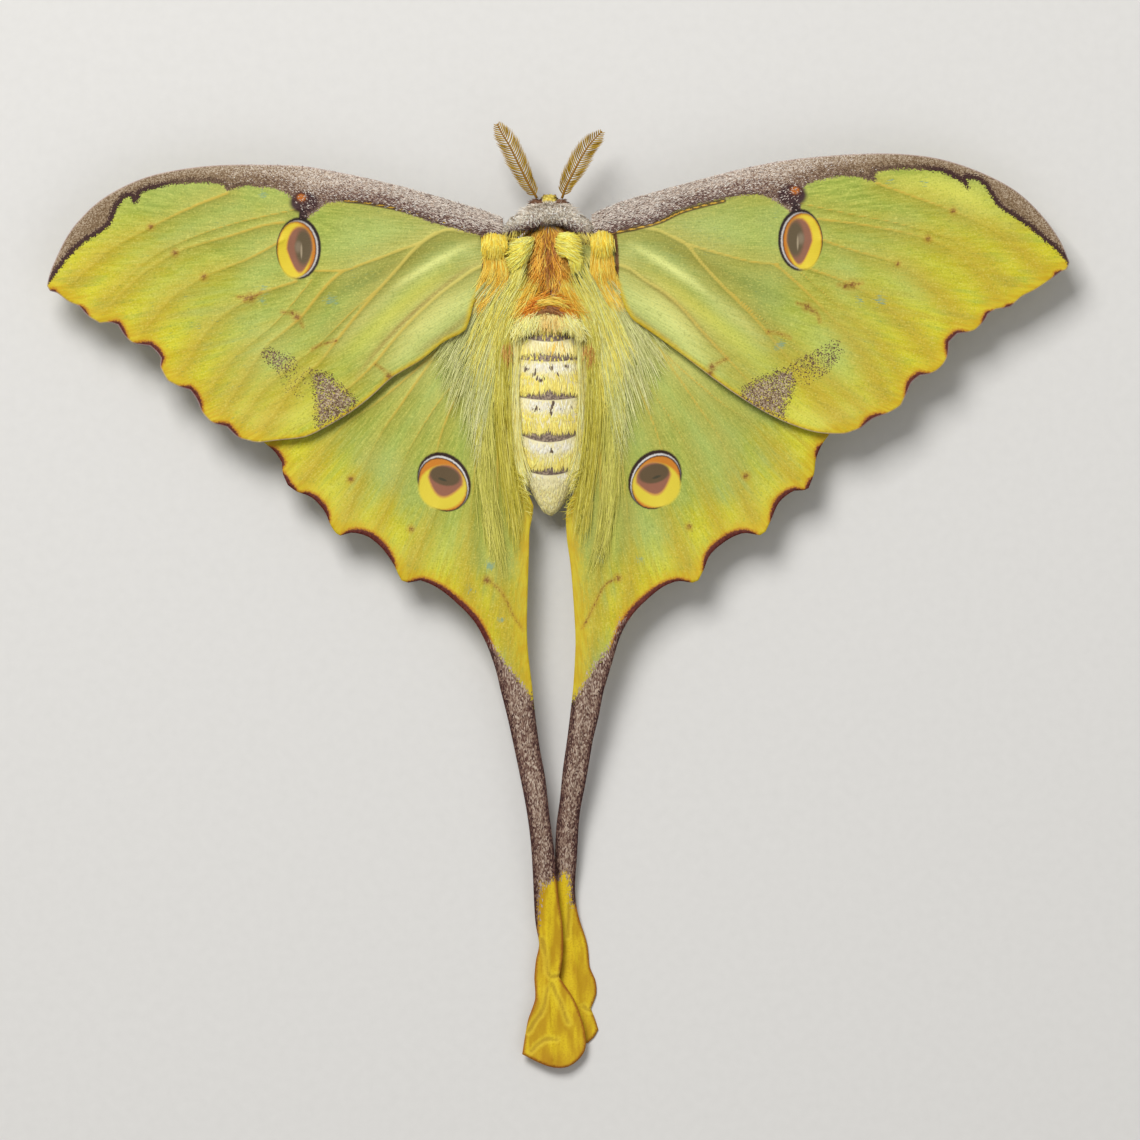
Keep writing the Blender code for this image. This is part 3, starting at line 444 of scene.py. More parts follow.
HINDWING_R = {
    "veins": [
        ([(590, 298), (628, 320), (678, 366), (718, 400), (758, 430), (800, 486)], 0.8),
        ([(658, 348), (694, 400), (726, 450), (757, 530)], 0.8),
        ([(598, 312), (630, 372), (652, 420), (662, 450)], 0.9),
        ([(664, 508), (676, 540), (691, 578)], 0.7),
        ([(630, 372), (658, 400), (690, 452), (708, 500), (724, 536)], 0.5),
        ([(594, 320), (608, 400), (620, 450), (628, 520), (630, 580), (622, 622)], 0.7),
        ([(590, 330), (598, 420), (601, 500), (598, 570), (592, 640), (585, 700), (574, 770),
          (567, 840), (566, 900), (576, 970), (580, 1036)], 0.9),
    ],
    "band": [(622, 620), (620, 627), (612, 645), (598, 662), (588, 678), (580, 690), (573, 702),
             (560, 702), (545, 800), (540, 870), (552, 884), (558, 880), (565, 872), (570, 880),
             (572, 905), (590, 908), (600, 800), (625, 700), (640, 660), (636, 630)],
    "outer": ((829.9, 433.7), (628, 622)),
    "rear": ((585, 340), (573, 690)),
    "scallops": [((822, 445), (816, 459)), ((813, 477), (806, 490)), ((802, 490.2), (771, 521)),
                 ((757, 534.4), (704, 570)), ((690, 582.3), (604, 690))],
    "dots": [((746, 476), 3.4), ((689, 527), 3.0), ((618, 578), 3.4), ((586, 622), 2.2)],
    "lines": [[(618, 578), (605, 585), (597, 600), (587, 620), (582, 628)]],
    "folds": [[(569, 906), (568.5, 920), (567.5, 938)], [(584, 1008), (590, 1012), (596, 1012)]],
    "patch": [],
    "tints": [
        ("mint", 24, 0.6, [(614, 320), (646, 366), (678, 410)]),
        # This pale tint is painted light that lifts the hindwing where the forewing's shadow falls on it.
        ("lime", 13, 0.6, [(598, 300), (628, 326), (668, 356), (704, 386)]),
        ("mint", 20, 0.5, [(626, 515), (650, 540), (676, 560)]),
        ("mint", 20, 0.4, [(696, 430), (716, 455), (734, 486)]),
        ("olive", 6, 0.6, [(600, 480), (604, 530), (598, 590)]),
        ("olive", 7, 0.5, [(620, 470), (624, 530), (614, 590)]),
        ("lemon", 6, 0.6, [(610, 430), (613, 500), (607, 580)]),
        ("lemon", 20, 0.5, [(796, 470), (768, 500), (730, 540), (680, 570)]),
    ],
    "trim": [],
    "rubs": [((640, 560), 9.0), ((600, 560), 8.0)],
    "root_line": [(597, 281), (616, 283), (630, 288)],
    "hub": (538, 200),
}


def rim(node):
    """Outline of a wing in the frame, counter-clockwise seen from above."""
    bm = bmesh.new()
    bm.from_mesh(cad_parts[node].data)
    bmesh.ops.remove_doubles(bm, verts=bm.verts[:], dist=0.01 * MM)
    beside = {}
    for edge in bm.edges:
        slopes = sorted(face.normal.z for face in edge.link_faces)
        if len(slopes) == 2 and slopes[0] < -0.9 and abs(slopes[1]) < 0.3:
            for vert in edge.verts:
                beside.setdefault(vert, []).append(edge.other_vert(vert))
    loops = []
    while beside:
        loop = [next(iter(beside))]
        while loop[-1] in beside:
            onward = [v for v in beside.pop(loop[-1]) if v in beside]
            if onward:
                loop.append(onward[0])
        loops.append(np.array([v.co.xy[:] for v in loop]))
    bm.free()
    loop = max(loops, key=len)
    after = np.roll(loop, -1, 0)
    turn = (loop[:, 0] * after[:, 1] - loop[:, 1] * after[:, 0]).sum()
    return loop if turn > 0 else loop[::-1]


def let_in(wing, tail):
    """Outline of a wing in one with its tail, where a narrow cut parts them in the frame."""
    parts = []
    for loop, cut_level, first in ((wing, wing[:, 1].min(), np.argmax), (tail, tail[:, 1].max(), np.argmin)):
        cut = np.abs(loop[:, 1] - cut_level) < 0.02 * MM
        ends = np.flatnonzero(cut)
        start = ends[first(loop[ends, 0])]
        loop, cut = np.roll(loop, -start, 0), np.roll(cut, -start)
        last = np.flatnonzero(cut & (np.arange(len(cut)) > 1)).min()
        parts.append(loop[:last + 1])
    return np.concatenate(parts)


def flowing(line, step=0.45 * MM):
    """A line as a smooth curve through its points."""
    line = np.array(line)
    ends = np.concatenate([[2 * line[0] - line[1]], line, [2 * line[-1] - line[-2]]])
    made = []
    for a, b, c, d in zip(ends, ends[1:], ends[2:], ends[3:]):
        count = max(1, round(float(np.linalg.norm(c - b)) / step))
        t = (np.arange(count) / count)[:, None]
        made.append(0.5 * (2 * b + (c - a) * t + (2 * a - 5 * b + 4 * c - d) * t ** 2
                           + (3 * b - a - 3 * c + d) * t ** 3))
    return np.concatenate(made + [line[-1:]])


def flowing_loop(loop):
    """A closed outline as smooth curves that meet at its corners."""
    before, after = loop - np.roll(loop, 1, 0), np.roll(loop, -1, 0) - loop
    turn = np.abs(np.arctan2(before[:, 0] * after[:, 1] - before[:, 1] * after[:, 0],
                             (before * after).sum(1)))
    corners = np.flatnonzero(turn > CORNER_TURN)
    made = []
    for first, last in zip(corners, np.append(corners[1:], corners[0] + len(loop))):
        run = loop[np.arange(first, last + 1) % len(loop)]
        made.append(flowing(run)[:-1])
    return np.concatenate(made), loop[corners]


def within(points, loop):
    """Whether each point lies inside a closed line."""
    hit = np.zeros(len(points), bool)
    x, y = points.T
    for a, b in zip(loop, np.roll(loop, -1, 0)):
        spans = (a[1] > y) != (b[1] > y)
        if spans.any():
            hit ^= spans & (x < a[0] + (y - a[1]) * (b[0] - a[0]) / (b[1] - a[1]))
    return hit


def away(points, line):
    """Distance of each point from a line, and how far along the line it is nearest, from 0 to 1."""
    best, along = np.full(len(points), np.inf), np.zeros(len(points))
    lengths = np.hypot(*np.diff(line, axis=0).T)
    starts = np.cumsum(lengths) - lengths
    for a, b, start, length in zip(line, line[1:], starts, lengths):
        if length > 0:
            t = np.clip((points - a) @ (b - a) / length ** 2, 0, 1)
            gap = np.hypot(*(points - a - t[:, None] * (b - a)).T)
            near = gap < best
            best[near], along[near] = gap[near], start + t[near] * length
    return best, along / lengths.sum()


def closed(loop):
    return np.concatenate([loop, loop[:1]])


def depth_in(points, shape):
    """How far inside a closed line each point lies, in millimetres, and less than 0 outside it."""
    return away(points, closed(shape))[0] / MM * np.where(within(points, shape), 1.0, -1.0)


def stretch(loop, first, last):
    """The shorter run of an outline between the places nearest to two points of the plan."""
    a, b = (int(np.argmin(np.hypot(*(loop - plan(p)).T))) for p in (first, last))
    run = loop[np.arange(a, b + 1 if b >= a else b + 1 + len(loop)) % len(loop)]
    back = loop[np.arange(b, a + 1 if a >= b else a + 1 + len(loop)) % len(loop)]
    return run if len(run) < len(back) else back[::-1]


def ease(value, low, high):
    t = np.clip((value - low) / (high - low), 0.0, 1.0)
    return t * t * (3.0 - 2.0 * t)


def sheet_level(points, forewing=False, crossing=False):
    """Height of the membrane above the floor, before its pleats."""
    down = PLAN_CENTRE[1] - points[:, 1] / UNIT
    level = HINDWING_LEVEL - OUTER_DROOP * (2.0 * points[:, 0] / (PLAN_SPAN * UNIT)) ** 2
    level = level + (TAIL_LEVEL - level) * ease(down, *TAIL_FALL)
    if forewing:
        level = level + FOREWING_LEVEL - HINDWING_LEVEL
    if crossing:
        level = level + CROSSING_RAISE * ease(down, *CROSSING)
    return level


def keep_whole(bm):
    """Drops points where faces only touch, and all but the largest sheet."""
    pinched = True
    while pinched:
        pinched = [v for v in bm.verts if sum(e.is_boundary for e in v.link_edges) > 2]
        bmesh.ops.delete(bm, geom=pinched, context="VERTS")
        bmesh.ops.delete(bm, geom=[v for v in bm.verts if not v.link_faces], context="VERTS")
    left, sheets = set(bm.verts), []
    while left:
        group = {left.pop()}
        front = set(group)
        while front:
            front = {e.other_vert(v) for v in front for e in v.link_edges} - group
            group |= front
        left -= group
        sheets.append(group)
    largest = max(sheets, key=len)
    bmesh.ops.delete(bm, geom=[v for v in bm.verts if v not in largest], context="VERTS")


def trimmed_sheet(loop, corners):
    """A fine flat grid cut to an outline, with its border on the outline."""
    low, high = loop.min(0), loop.max(0)
    cells = np.ceil((high - low) / SHEET_STEP).astype(int) + 2
    bm = bmesh.new()
    size = Matrix.Diagonal((*(cells * SHEET_STEP / 2), 1.0, 1.0))
    bmesh.ops.create_grid(bm, x_segments=int(cells[0]), y_segments=int(cells[1]), size=1.0,
                          matrix=Matrix.Translation((*((low + high) / 2), 0.0)) @ size)
    points = np.array([v.co.xy[:] for v in bm.verts])
    gap = away(points, closed(loop))[0]
    out = ~within(points, loop) & (gap > 0.45 * SHEET_STEP)
    bmesh.ops.delete(bm, geom=[v for v, o in zip(bm.verts[:], out) if o], context="VERTS")
    keep_whole(bm)
    border = [v for v in bm.verts if v.is_boundary]
    places = np.array([v.co.xy[:] for v in border])
    a, b = loop, np.roll(loop, -1, 0)
    for vert, place in zip(border, places):
        t = np.clip(((place - a) * (b - a)).sum(1) / ((b - a) ** 2).sum(1), 0, 1)
        on = a + t[:, None] * (b - a)
        vert.co.xy = on[np.argmin(np.hypot(*(on - place).T))]
    for corner in corners:
        border[int(np.argmin(np.hypot(*(places - corner).T)))].co.xy = corner
    inner = {e.other_vert(v) for v in border for e in v.link_edges} - set(border)
    for _ in range(3):
        bmesh.ops.smooth_vert(bm, verts=list(inner), factor=0.5, use_axis_x=True, use_axis_y=True)
    return bm


def wing(name, marks, material, slot, nodes, forewing=False, crossing=False):
    """Shapes a wing's membrane and keeps on it how far each point is from its markings."""
    loop = rim(nodes[0]) if len(nodes) == 1 else let_in(*(rim(n) for n in nodes))
    inward = (np.abs(loop[:, 0]) < 33.5 * UNIT) & (loop[:, 1] > -50 * UNIT)
    loop[inward, 0] = np.sign(loop[inward, 0]) * ROOT_REACH * UNIT
    if not forewing:
        under = (np.abs(loop[:, 0]) < 84 * UNIT) & (loop[:, 1] > -26 * UNIT)
        loop[under, 1] += UNDERLAP
    loop, corners = flowing_loop(loop)
    bm = trimmed_sheet(loop, corners)
    flat = np.array([v.co.xy[:] for v in bm.verts])
    marks = markings(flat, marks, loop)
    for mark, values in marks.items():
        layer = bm.verts.layers.float.new(mark)
        for vert, value in zip(bm.verts, values):
            vert[layer] = value
    sag = PLEAT_DEPTH * (1.0 - np.exp(-marks["near_vein"] / 1.5))
    wave = np.array([noise.noise(Vector((x, y, 0.0)) * 420.0) for x, y in flat])
    broad = np.array([noise.noise(Vector((x, y, 0.7)) * 130.0) for x, y in flat])
    level = sheet_level(flat, forewing, crossing) - sag * (0.3 + 0.7 * ease(marks["outer"], 0.0, 6.0))
    level = level + MARGIN_WAVE * wave * np.exp(-marks["outer"] / 3.2) + BROAD_WAVE * broad
    rest = SHEET_THICKNESS * 0.5 + marks["ridge"] * VEIN_RISE * (0.3 + 0.7 * ease(marks["outer"], 4.0, 15.0))
    thickness = bm.verts.layers.float.new("thickness")
    for vert, height, half in zip(bm.verts, level, rest):
        vert.co.z = max(height - half, FLOOR_CLEARANCE)
        vert[thickness] = 2.0 * half
    extruded = bmesh.ops.extrude_face_region(bm, geom=bm.faces[:])["geom"]
    top = {v for v in extruded if isinstance(v, bmesh.types.BMVert)}
    for vert in top:
        vert.co.z += vert[thickness]
    settle(bm, [face for face in bm.faces if len({v in top for v in face.verts}) == 2])
    bmesh.ops.recalc_face_normals(bm, faces=bm.faces[:])
    return show(name, bm, material, slot, *nodes)


def markings(spots, marks, loop):
    """How far each point of a wing lies from its markings, in millimetres."""
    starts = {"near_vein": FAR, "vein": FAR, "glow": FAR, "ridge": 0.0, "scallop": -FAR, "stain": -FAR,
              "patch": -FAR, "rub": 0.0, "trim": FAR, "fold": FAR, **dict.fromkeys(TINTS, 0.0)}
    kept = {name: np.full(len(spots), start) for name, start in starts.items()}
    for line, strength in marks["veins"]:
        gap, along = away(spots, flowing(plan(line)))
        kept["near_vein"] = np.minimum(kept["near_vein"], gap / MM)
        kept["glow"] = np.minimum(kept["glow"], gap / MM + (1.0 - strength))
        kept["vein"] = np.minimum(kept["vein"], gap / MM / (strength * (1.0 - 0.35 * along)))
        swell = np.exp(-(gap / (VEIN_SPREAD * (1.0 - 0.45 * along))) ** 2)
        kept["ridge"] = np.maximum(kept["ridge"], strength * (1.0 - 0.5 * along) * swell)
    kept["band"] = depth_in(spots, plan(marks["band"]))
    kept["outer"] = away(spots, stretch(loop, *marks["outer"]))[0] / MM
    kept["rear"] = away(spots, stretch(loop, *marks["rear"]))[0] / MM
    kept["rim"] = away(spots, closed(loop))[0] / MM
    for first, last in marks["scallops"]:
        run = stretch(loop, first, last)
        gap, along = away(spots, run)
        width = min(0.66, 0.16 + 0.12 * len(run) ** 0.5)
        swell = np.sin(np.pi * np.clip(along, 0.02, 0.98)) ** 0.4
        kept["scallop"] = np.maximum(kept["scallop"], width * swell - gap / MM)
    for place, size in marks["dots"]:
        gap = np.hypot(*(spots - plan(place)).T) / UNIT
        kept["stain"] = np.maximum(kept["stain"], 1.35 - gap / size)
    for line in marks["lines"]:
        gap = away(spots, flowing(plan(line)))[0] / UNIT
        kept["stain"] = np.maximum(kept["stain"], 0.85 - gap / LINE_SPREAD)
    for most, corners in marks["patch"]:
        kept["patch"] = np.maximum(kept["patch"], np.minimum(depth_in(spots, plan(corners)), most))
    for tint, width, strength, line in marks["tints"]:
        gap, along = away(spots, flowing(plan(line)))
        swell = np.sin(np.pi * np.clip(along, 0.04, 0.96)) ** 0.5
        kept[tint] = np.maximum(kept[tint], strength * swell * np.exp(-(gap / UNIT / width) ** 2))
    for line in marks["folds"]:
        kept["fold"] = np.minimum(kept["fold"], away(spots, flowing(plan(line)))[0] / UNIT)
    if marks["trim"]:
        kept["trim"] = away(spots, flowing(plan(marks["trim"])))[0] / UNIT
    for place, size in marks["rubs"]:
        gap = np.hypot(*(spots - plan(place)).T) / UNIT
        kept["rub"] = np.maximum(kept["rub"], 1.0 - gap / size)
    kept["root"] = away(spots, flowing(plan(marks["root_line"])))[0] / MM
    hub = (spots - plan(marks["hub"])) / MM
    out = -hub[:, 0] * np.sign(marks["hub"][0] - PLAN_CENTRE[0])
    kept["round"] = np.arctan2(hub[:, 1], out) * FLOW_RADIUS
    kept["reach"] = np.hypot(*hub.T)
    return kept


def wing_finish(name, forewing, far, eye):
    """Scaled membrane: fine streaks along the wing, veins, speckled front, maroon scallops and eye."""
    material, paint, shader = new_material(name, 0.62, 0.25)
    where = paint.where()
    reach = paint.attribute("reach")
    flow = paint.node("ShaderNodeCombineXYZ", {}, {0: paint.attribute("round"), 1: reach})
    fine = paint.grain(paint.vector("MULTIPLY", flow, (7.5, 1.3, 0.4)), 1.0, 3.0)
    hair = paint.grain(paint.vector("MULTIPLY", flow, (3.0, 0.35, 0.2)), 1.0, 2.0)
    strand = hair.rise(0.35, 0.65)
    cloud = paint.grain(where, 130.0, 3.0)
    vein, glow, outer = (paint.attribute(n) for n in ("vein", "glow", "outer"))
    band, rear, rim_gap = (paint.attribute(n) for n in ("band", "rear", "rim"))

    streak = paint.grain(paint.vector("MULTIPLY", flow, (1.1, 0.10, 0.2)), 1.0, 2.0)
    flake = paint.grain(where, 5200.0, 2.0)
    green = strand.mix(colour(140, 156, 58), colour(168, 178, 76))
    green = cloud.rise(0.35, 0.7).mix(green, colour(158, 172, 86))
    milky = reach.rise(34.0, 12.0) * (0.8 if forewing else 0.6)
    green = milky.mix(green, strand.mix(colour(156, 168, 92), colour(178, 186, 112)))
    yellow = strand.mix(colour(192, 184, 26), colour(206, 198, 42))
    yellow = streak.rise(0.48, 0.34).mix(yellow, colour(176, 182, 52))
    yellow = (streak.rise(0.52, 0.68) * 0.6).mix(yellow, colour(188, 160, 26))
    zone = (outer + (hair - 0.5) * 6.0 + (cloud - 0.5) * 9.0 + (streak - 0.5) * 8.0).rise(1.0, far)
    tone = zone.mix(yellow, green)
    shade = cloud * 0.8 + hair * 0.4 + 0.4
    # Olive is the wing's own darker olive and, on the forewings beside the pale fold and the brown vein,
    # painted shade.
    for tint, most, dye in (("mint", 0.9, (174, 190, 100)), ("olive", 0.8, (118, 128, 52)),
                            ("lemon", 0.9, (208, 206, 84))):
        tone = (paint.attribute(tint) * shade * most).mix(tone, colour(*dye))
    # Pale lime: the wing's own pale scales, a painted highlight along the fold and painted light under the
    # forewing's edge.
    tone = (paint.attribute("lime") * (hair * 0.8 + 0.55)).least(1.0).mix(tone, colour(220, 224, 136))
    smear = (glow + (fine - 0.5) * 1.8 + (flake - 0.5) * 1.6 + (streak - 0.5) * 1.6).rise(2.6, 0.1)
    tone = (smear * (0.64 - zone * 0.36)).mix(tone, colour(182, 148, 40))
    tone = (paint.attribute("brown") * (fine * 0.8 + 0.5)).least(1.0).mix(tone, colour(142, 112, 48))
    for grain, low, high, most, dye in (
            (fine, 0.52, 0.78, 0.4, (120, 130, 44)), (fine, 0.46, 0.22, 0.45, (214, 208, 104)),
            (flake, 0.52, 0.72, 0.36, (116, 118, 42)), (flake, 0.44, 0.28, 0.3, (222, 218, 120))):
        tone = (grain.rise(low, high) * most).mix(tone, colour(*dye))
    rub = (paint.attribute("rub") + (fine - 0.5) * 2.4 + (cloud - 0.5) * 1.5).rise(0.5, 1.0)
    tone = (rub * 0.7).mix(tone, colour(112, 150, 134))
    core = (vein + (fine - 0.5) * 0.3).rise(0.28, 0.08) * (outer.rise(8.0, 16.0) * 0.62 + 0.14)
    tone = core.mix(tone, reach.rise(30.0, 14.0).mix(colour(196, 166, 62), colour(204, 190, 96)))
    if not forewing:
        down = paint.node("ShaderNodeSeparateXYZ", {}, {0: where}, 1) / -UNIT + PLAN_CENTRE[1]
        tail = down.rise(690.0, 860.0)
        # The tail's own ochre, lighter and darker in long streaks as painted light and shade of broad folds.
        ripple_shading = paint.grain(paint.vector("MULTIPLY", where, (1.0, 0.22, 1.0)), 900.0, 2.0)
        ochre = ripple_shading.rise(0.35, 0.65).mix(colour(182, 142, 8), colour(216, 186, 24))
        ochre = (flake.rise(0.45, 0.7) * 0.4).mix(ochre, colour(176, 128, 12))
        tone = tail.mix(tone, ochre)
        rust = (down + (hair - 0.5) * 30.0).rise(1040.0, 1072.0) * 0.5
        tone = rust.mix(tone, colour(170, 112, 14))
        brim = (rim_gap + (flake - 0.5) * 0.5).rise(0.42, 0.06) * tail
        tone = (brim * 0.8).mix(tone, colour(142, 74, 16))
        # Creases in the tails: a painted shadow along each crease and a painted highlight beside it, with a
        # dent in the relief.
        fold = paint.attribute("fold") + (flake - 0.5) * 3.0 + (hair - 0.5) * 3.0
        tone = (fold.rise(6.0, 2.6) * 0.45).mix(tone, colour(226, 200, 48))
        tone = (fold.rise(2.8, 0.2) * 0.5).mix(tone, colour(138, 96, 14))
    edge = (outer.least(rear * (2.6 if forewing else 0.8)) + (fine - 0.5) * 1.6).rise(1.9, 0.2)
    tone = (edge * 0.85).mix(tone, strand.mix(colour(196, 158, 14), colour(204, 180, 34)))

    grains = where if forewing else paint.vector("MULTIPLY", where, (1.0, 0.34, 1.0))
    speck = paint.node("ShaderNodeTexVoronoi", {}, {
        "Vector": grains, "Scale": 9500.0 if forewing else 11500.0}, 1)
    speck = speck.node("ShaderNodeSeparateColor", {}, {0: speck})
    spill = paint.attribute("stain") + (flake - 0.5) * 1.3 + (fine - 0.5) * 1.1
    tone = (spill.rise(-0.9, 0.6) * 0.45).mix(tone, colour(172, 128, 38))
    tone = (spill.rise(0.2, 1.1) * 0.8).mix(tone, colour(118, 68, 30))

    def salted(lightness):
        """Light and dark scales mixed, from dark brown to white as the lightness rises."""
        return lightness.node("ShaderNodeValToRGB", {"stops": [
            (0.0, colour(54, 28, 26)[:3]), (0.25, colour(98, 68, 58)[:3]), (0.5, colour(146, 122, 104)[:3]),
            (0.75, colour(198, 180, 162)[:3]), (1.0, colour(240, 230, 218)[:3])]}, {0: lightness})

    dusting = paint.attribute("patch") + (cloud - 0.5) * 1.8
    dusting = (dusting * 0.9 + 0.62).least(0.86) - speck
    tone = (dusting.rise(-0.06, 0.06) * 0.92).mix(tone, salted(speck * 0.78 + flake * 0.25 - 0.08))
    root = (paint.attribute("root") + (flake - 0.5) * 0.3).rise(0.32, 0.12)
    tone = (root * 0.9).mix(tone, colour(88, 34, 22))

    scallop = paint.attribute("scallop") + (flake - 0.5) * 0.45
    tone = (scallop.rise(-0.34, 0.06) * 0.9).mix(tone, colour(176, 112, 24))
    maroon = flake.rise(0.4, 0.7).mix(colour(78, 26, 20), colour(108, 48, 34))
    tone = scallop.rise(-0.04, 0.16).mix(tone, maroon)
    ragged = band + (flake - 0.5) * (0.5 if forewing else 1.1) + (speck - 0.5) * (0.3 if forewing else 0.7)
    if forewing:
        front = band / (band + rim_gap + 0.01) + (cloud - 0.5) * 0.15
        seam = reach.rise(34.0, 42.0) * ragged.rise(0.62, 0.3) * (reach.rise(45.5, 48.0) * 0.6 + 0.4)
        glare = reach.rise(50.0, 28.0) * 0.20 + 0.08
        light = (speck * 0.56 + front.rise(0.42, 0.68) * glare - front.rise(0.60, 0.2) * 0.05 + 0.10
                 - seam * 0.5)
    else:
        light = speck * 0.62 + 0.10 - (rim_gap + (flake - 0.5) * 0.7).rise(0.8, 0.05) * 0.34
    banded = ragged.rise(-0.16, 0.0)
    tone = banded.mix(tone, salted(light))
    if forewing:
        olive = reach.rise(24.0, 44.0) * 0.3 * (1.0 - seam)
        tone = (banded * olive).mix(tone, colour(136, 118, 62))
        tone = (banded * seam * 0.6).mix(tone, colour(60, 34, 30))
        trim = paint.attribute("trim") + (flake - 0.5) * 0.8
        tone = (trim.rise(3.0, 1.4) * 0.85).mix(tone, colour(66, 38, 24))
        tone = trim.rise(1.1, 0.5).mix(tone, colour(204, 160, 56))
        tone = (rim_gap.rise(0.16, 0.02) * reach.rise(20.0, 30.0) * 0.6).mix(tone, colour(196, 176, 172))
    for place, (wide, tall), tilt, shade, soft, pinch in eye:
        local = paint.node("ShaderNodeMapping", {"vector_type": "TEXTURE"}, {
            "Vector": where, "Location": (*plan(place)[0], 0.0), "Rotation": (0.0, 0.0, math.radians(tilt)),
            "Scale": (wide * UNIT, tall * UNIT, 1.0)})
        x, y = (paint.node("ShaderNodeSeparateXYZ", {}, {0: local}, i) for i in (0, 1))
        x = x * (1.0 - y.least(0.0) * pinch)
        radius = (x * x + y * y).math("SQRT", x * x + y * y)
        radius = radius + (flake - 0.5) * 0.06
        tone = radius.rise(1.0 + soft, 1.0 - soft).mix(tone, shade)
    tone.feed(shader["Base Color"])
    relief = fine * 0.6 + vein.rise(0.5, 0.0) * (outer.rise(4.0, 15.0) * 1.1 + 0.3)
    relief = relief + speck * ragged.rise(-0.1, 0.1) * 0.9
    if not forewing:
        relief = relief - fold.rise(4.5, 0.0) * 1.2
    bump = paint.node("ShaderNodeBump", {}, {"Strength": 0.55, "Distance": 0.06 * MM, "Height": relief})
    bump.feed(shader["Normal"])
    return material


def rings(centre, side, dot):
    """Layers of a forewing's eyespot and the orange dot over it; side is -1 on the left wing."""
    x, y = centre
    return [
        ((dot[0] - 3.0 * side, dot[1] + 5), (14.5, 11.0), 0.0, colour(58, 34, 34), 0.22, 0.0),
        (dot, (6.5, 5.5), 0.0, colour(84, 40, 20), 0.35, 0.0),
        (dot, (4.2, 3.6), 0.0, colour(176, 98, 26), 0.3, 0.0),
        ((x - 4.0 * side, y - 32), (4.4, 7.0), 0.0, colour(46, 28, 28), 0.25, 0.0),
        ((x + 0.2 * side, y), (22.0, 31.0), 0.0, colour(36, 22, 20), 0.04, 0.0),
        ((x + 1.3 * side, y + 0.6), (20.3, 28.2), 0.0, colour(192, 186, 180), 0.04, 0.0),
        ((x + 2.8 * side, y + 0.8), (20.1, 27.8), 0.0, colour(40, 24, 20), 0.04, 0.0),
        ((x + 2.8 * side, y + 0.8), (19.0, 27.0), 0.0, colour(192, 116, 26), 0.06, 0.0),
        ((x + 4.5 * side, y + 2.3), (16.8, 27.5), 0.0, colour(214, 190, 48), 0.08, 0.0),
        ((x - 0.7 * side, y + 1.3), (13.5, 23.6), 0.0, colour(194, 132, 58), 0.1, 0.6),
        ((x - 0.7 * side, y + 1.3), (12.4, 22.4), 0.0, colour(138, 92, 70), 0.08, 0.6),
        ((x - 4.4 * side, y - 1.0), (8.2, 18.0), 0.0, colour(92, 78, 54), 0.25, 0.0),
        ((x + 1.0 * side, y - 1.2), (3.2, 5.5), 0.0, colour(126, 110, 88), 0.6, 0.0),
        ((x - 2.2 * side, y + 3.0), (0.9, 6.5), 0.0, colour(154, 138, 112), 0.5, 0.0),
    ]


def hind_rings(centre, side):
    """Layers of a hindwing's eyespot, the largest first; side is -1 on the left wing."""
    x, y = centre
    tilt, lean = -32.0 * side, 14.0 * side
    return [
        ((x - 0.1 * side, y - 0.3), (25.3, 30.5), tilt, colour(44, 24, 18), 0.04, 0.0),
        ((x + 0.5 * side, y + 1.5), (23.4, 28.6), tilt, colour(208, 204, 200), 0.03, 0.0),
        ((x + 1.1 * side, y + 3.0), (23.2, 28.4), tilt, colour(40, 24, 18), 0.03, 0.0),
        ((x + 1.0 * side, y + 2.9), (21.9, 27.1), tilt, colour(196, 120, 34), 0.04, 0.0),
        ((x + 1.5 * side, y + 6.0), (24.0, 21.9), 0.0, colour(212, 192, 56), 0.08, 0.0),
        ((x - 1.4 * side, y - 0.2), (18.2, 16.8), lean, colour(192, 138, 66), 0.1, 0.5),
        ((x - 1.4 * side, y - 0.8), (16.8, 15.5), lean, colour(142, 92, 70), 0.08, 0.5),
        ((x - 1.0 * side, y - 5.6), (15.4, 9.4), lean, colour(92, 74, 50), 0.14, 0.0),
        ((x + 1.5 * side, y - 2.2), (4.4, 1.3), lean * 1.4, colour(66, 60, 42), 0.4, 0.0),
    ]


for name, marks, far, eye, nodes in (
        ("forewing_l", FOREWING_L, 14.0, rings((299.3, 248.4), -1, (301.5, 197.7)), ["forewing_l"]),
        ("forewing_r", FOREWING_R, 18.0, rings((799.8, 240.0), 1, (795, 190.5)), ["forewing_r"]),
        ("hindwing_l", HINDWING_L, 8.0, hind_rings((443.9, 481.6), -1), ["hindwing_l", "tail_l"]),
        ("hindwing_r", HINDWING_R, 8.0, hind_rings((655.1, 479.2), 1), ["hindwing_r", "tail_r"])):
    front = name.startswith("fore")
    scales = wing_finish(name + "_scales", front, far, eye)
    wing(name + "_scaled", marks, scales, "wing", nodes, front, crossing=name == "hindwing_l")

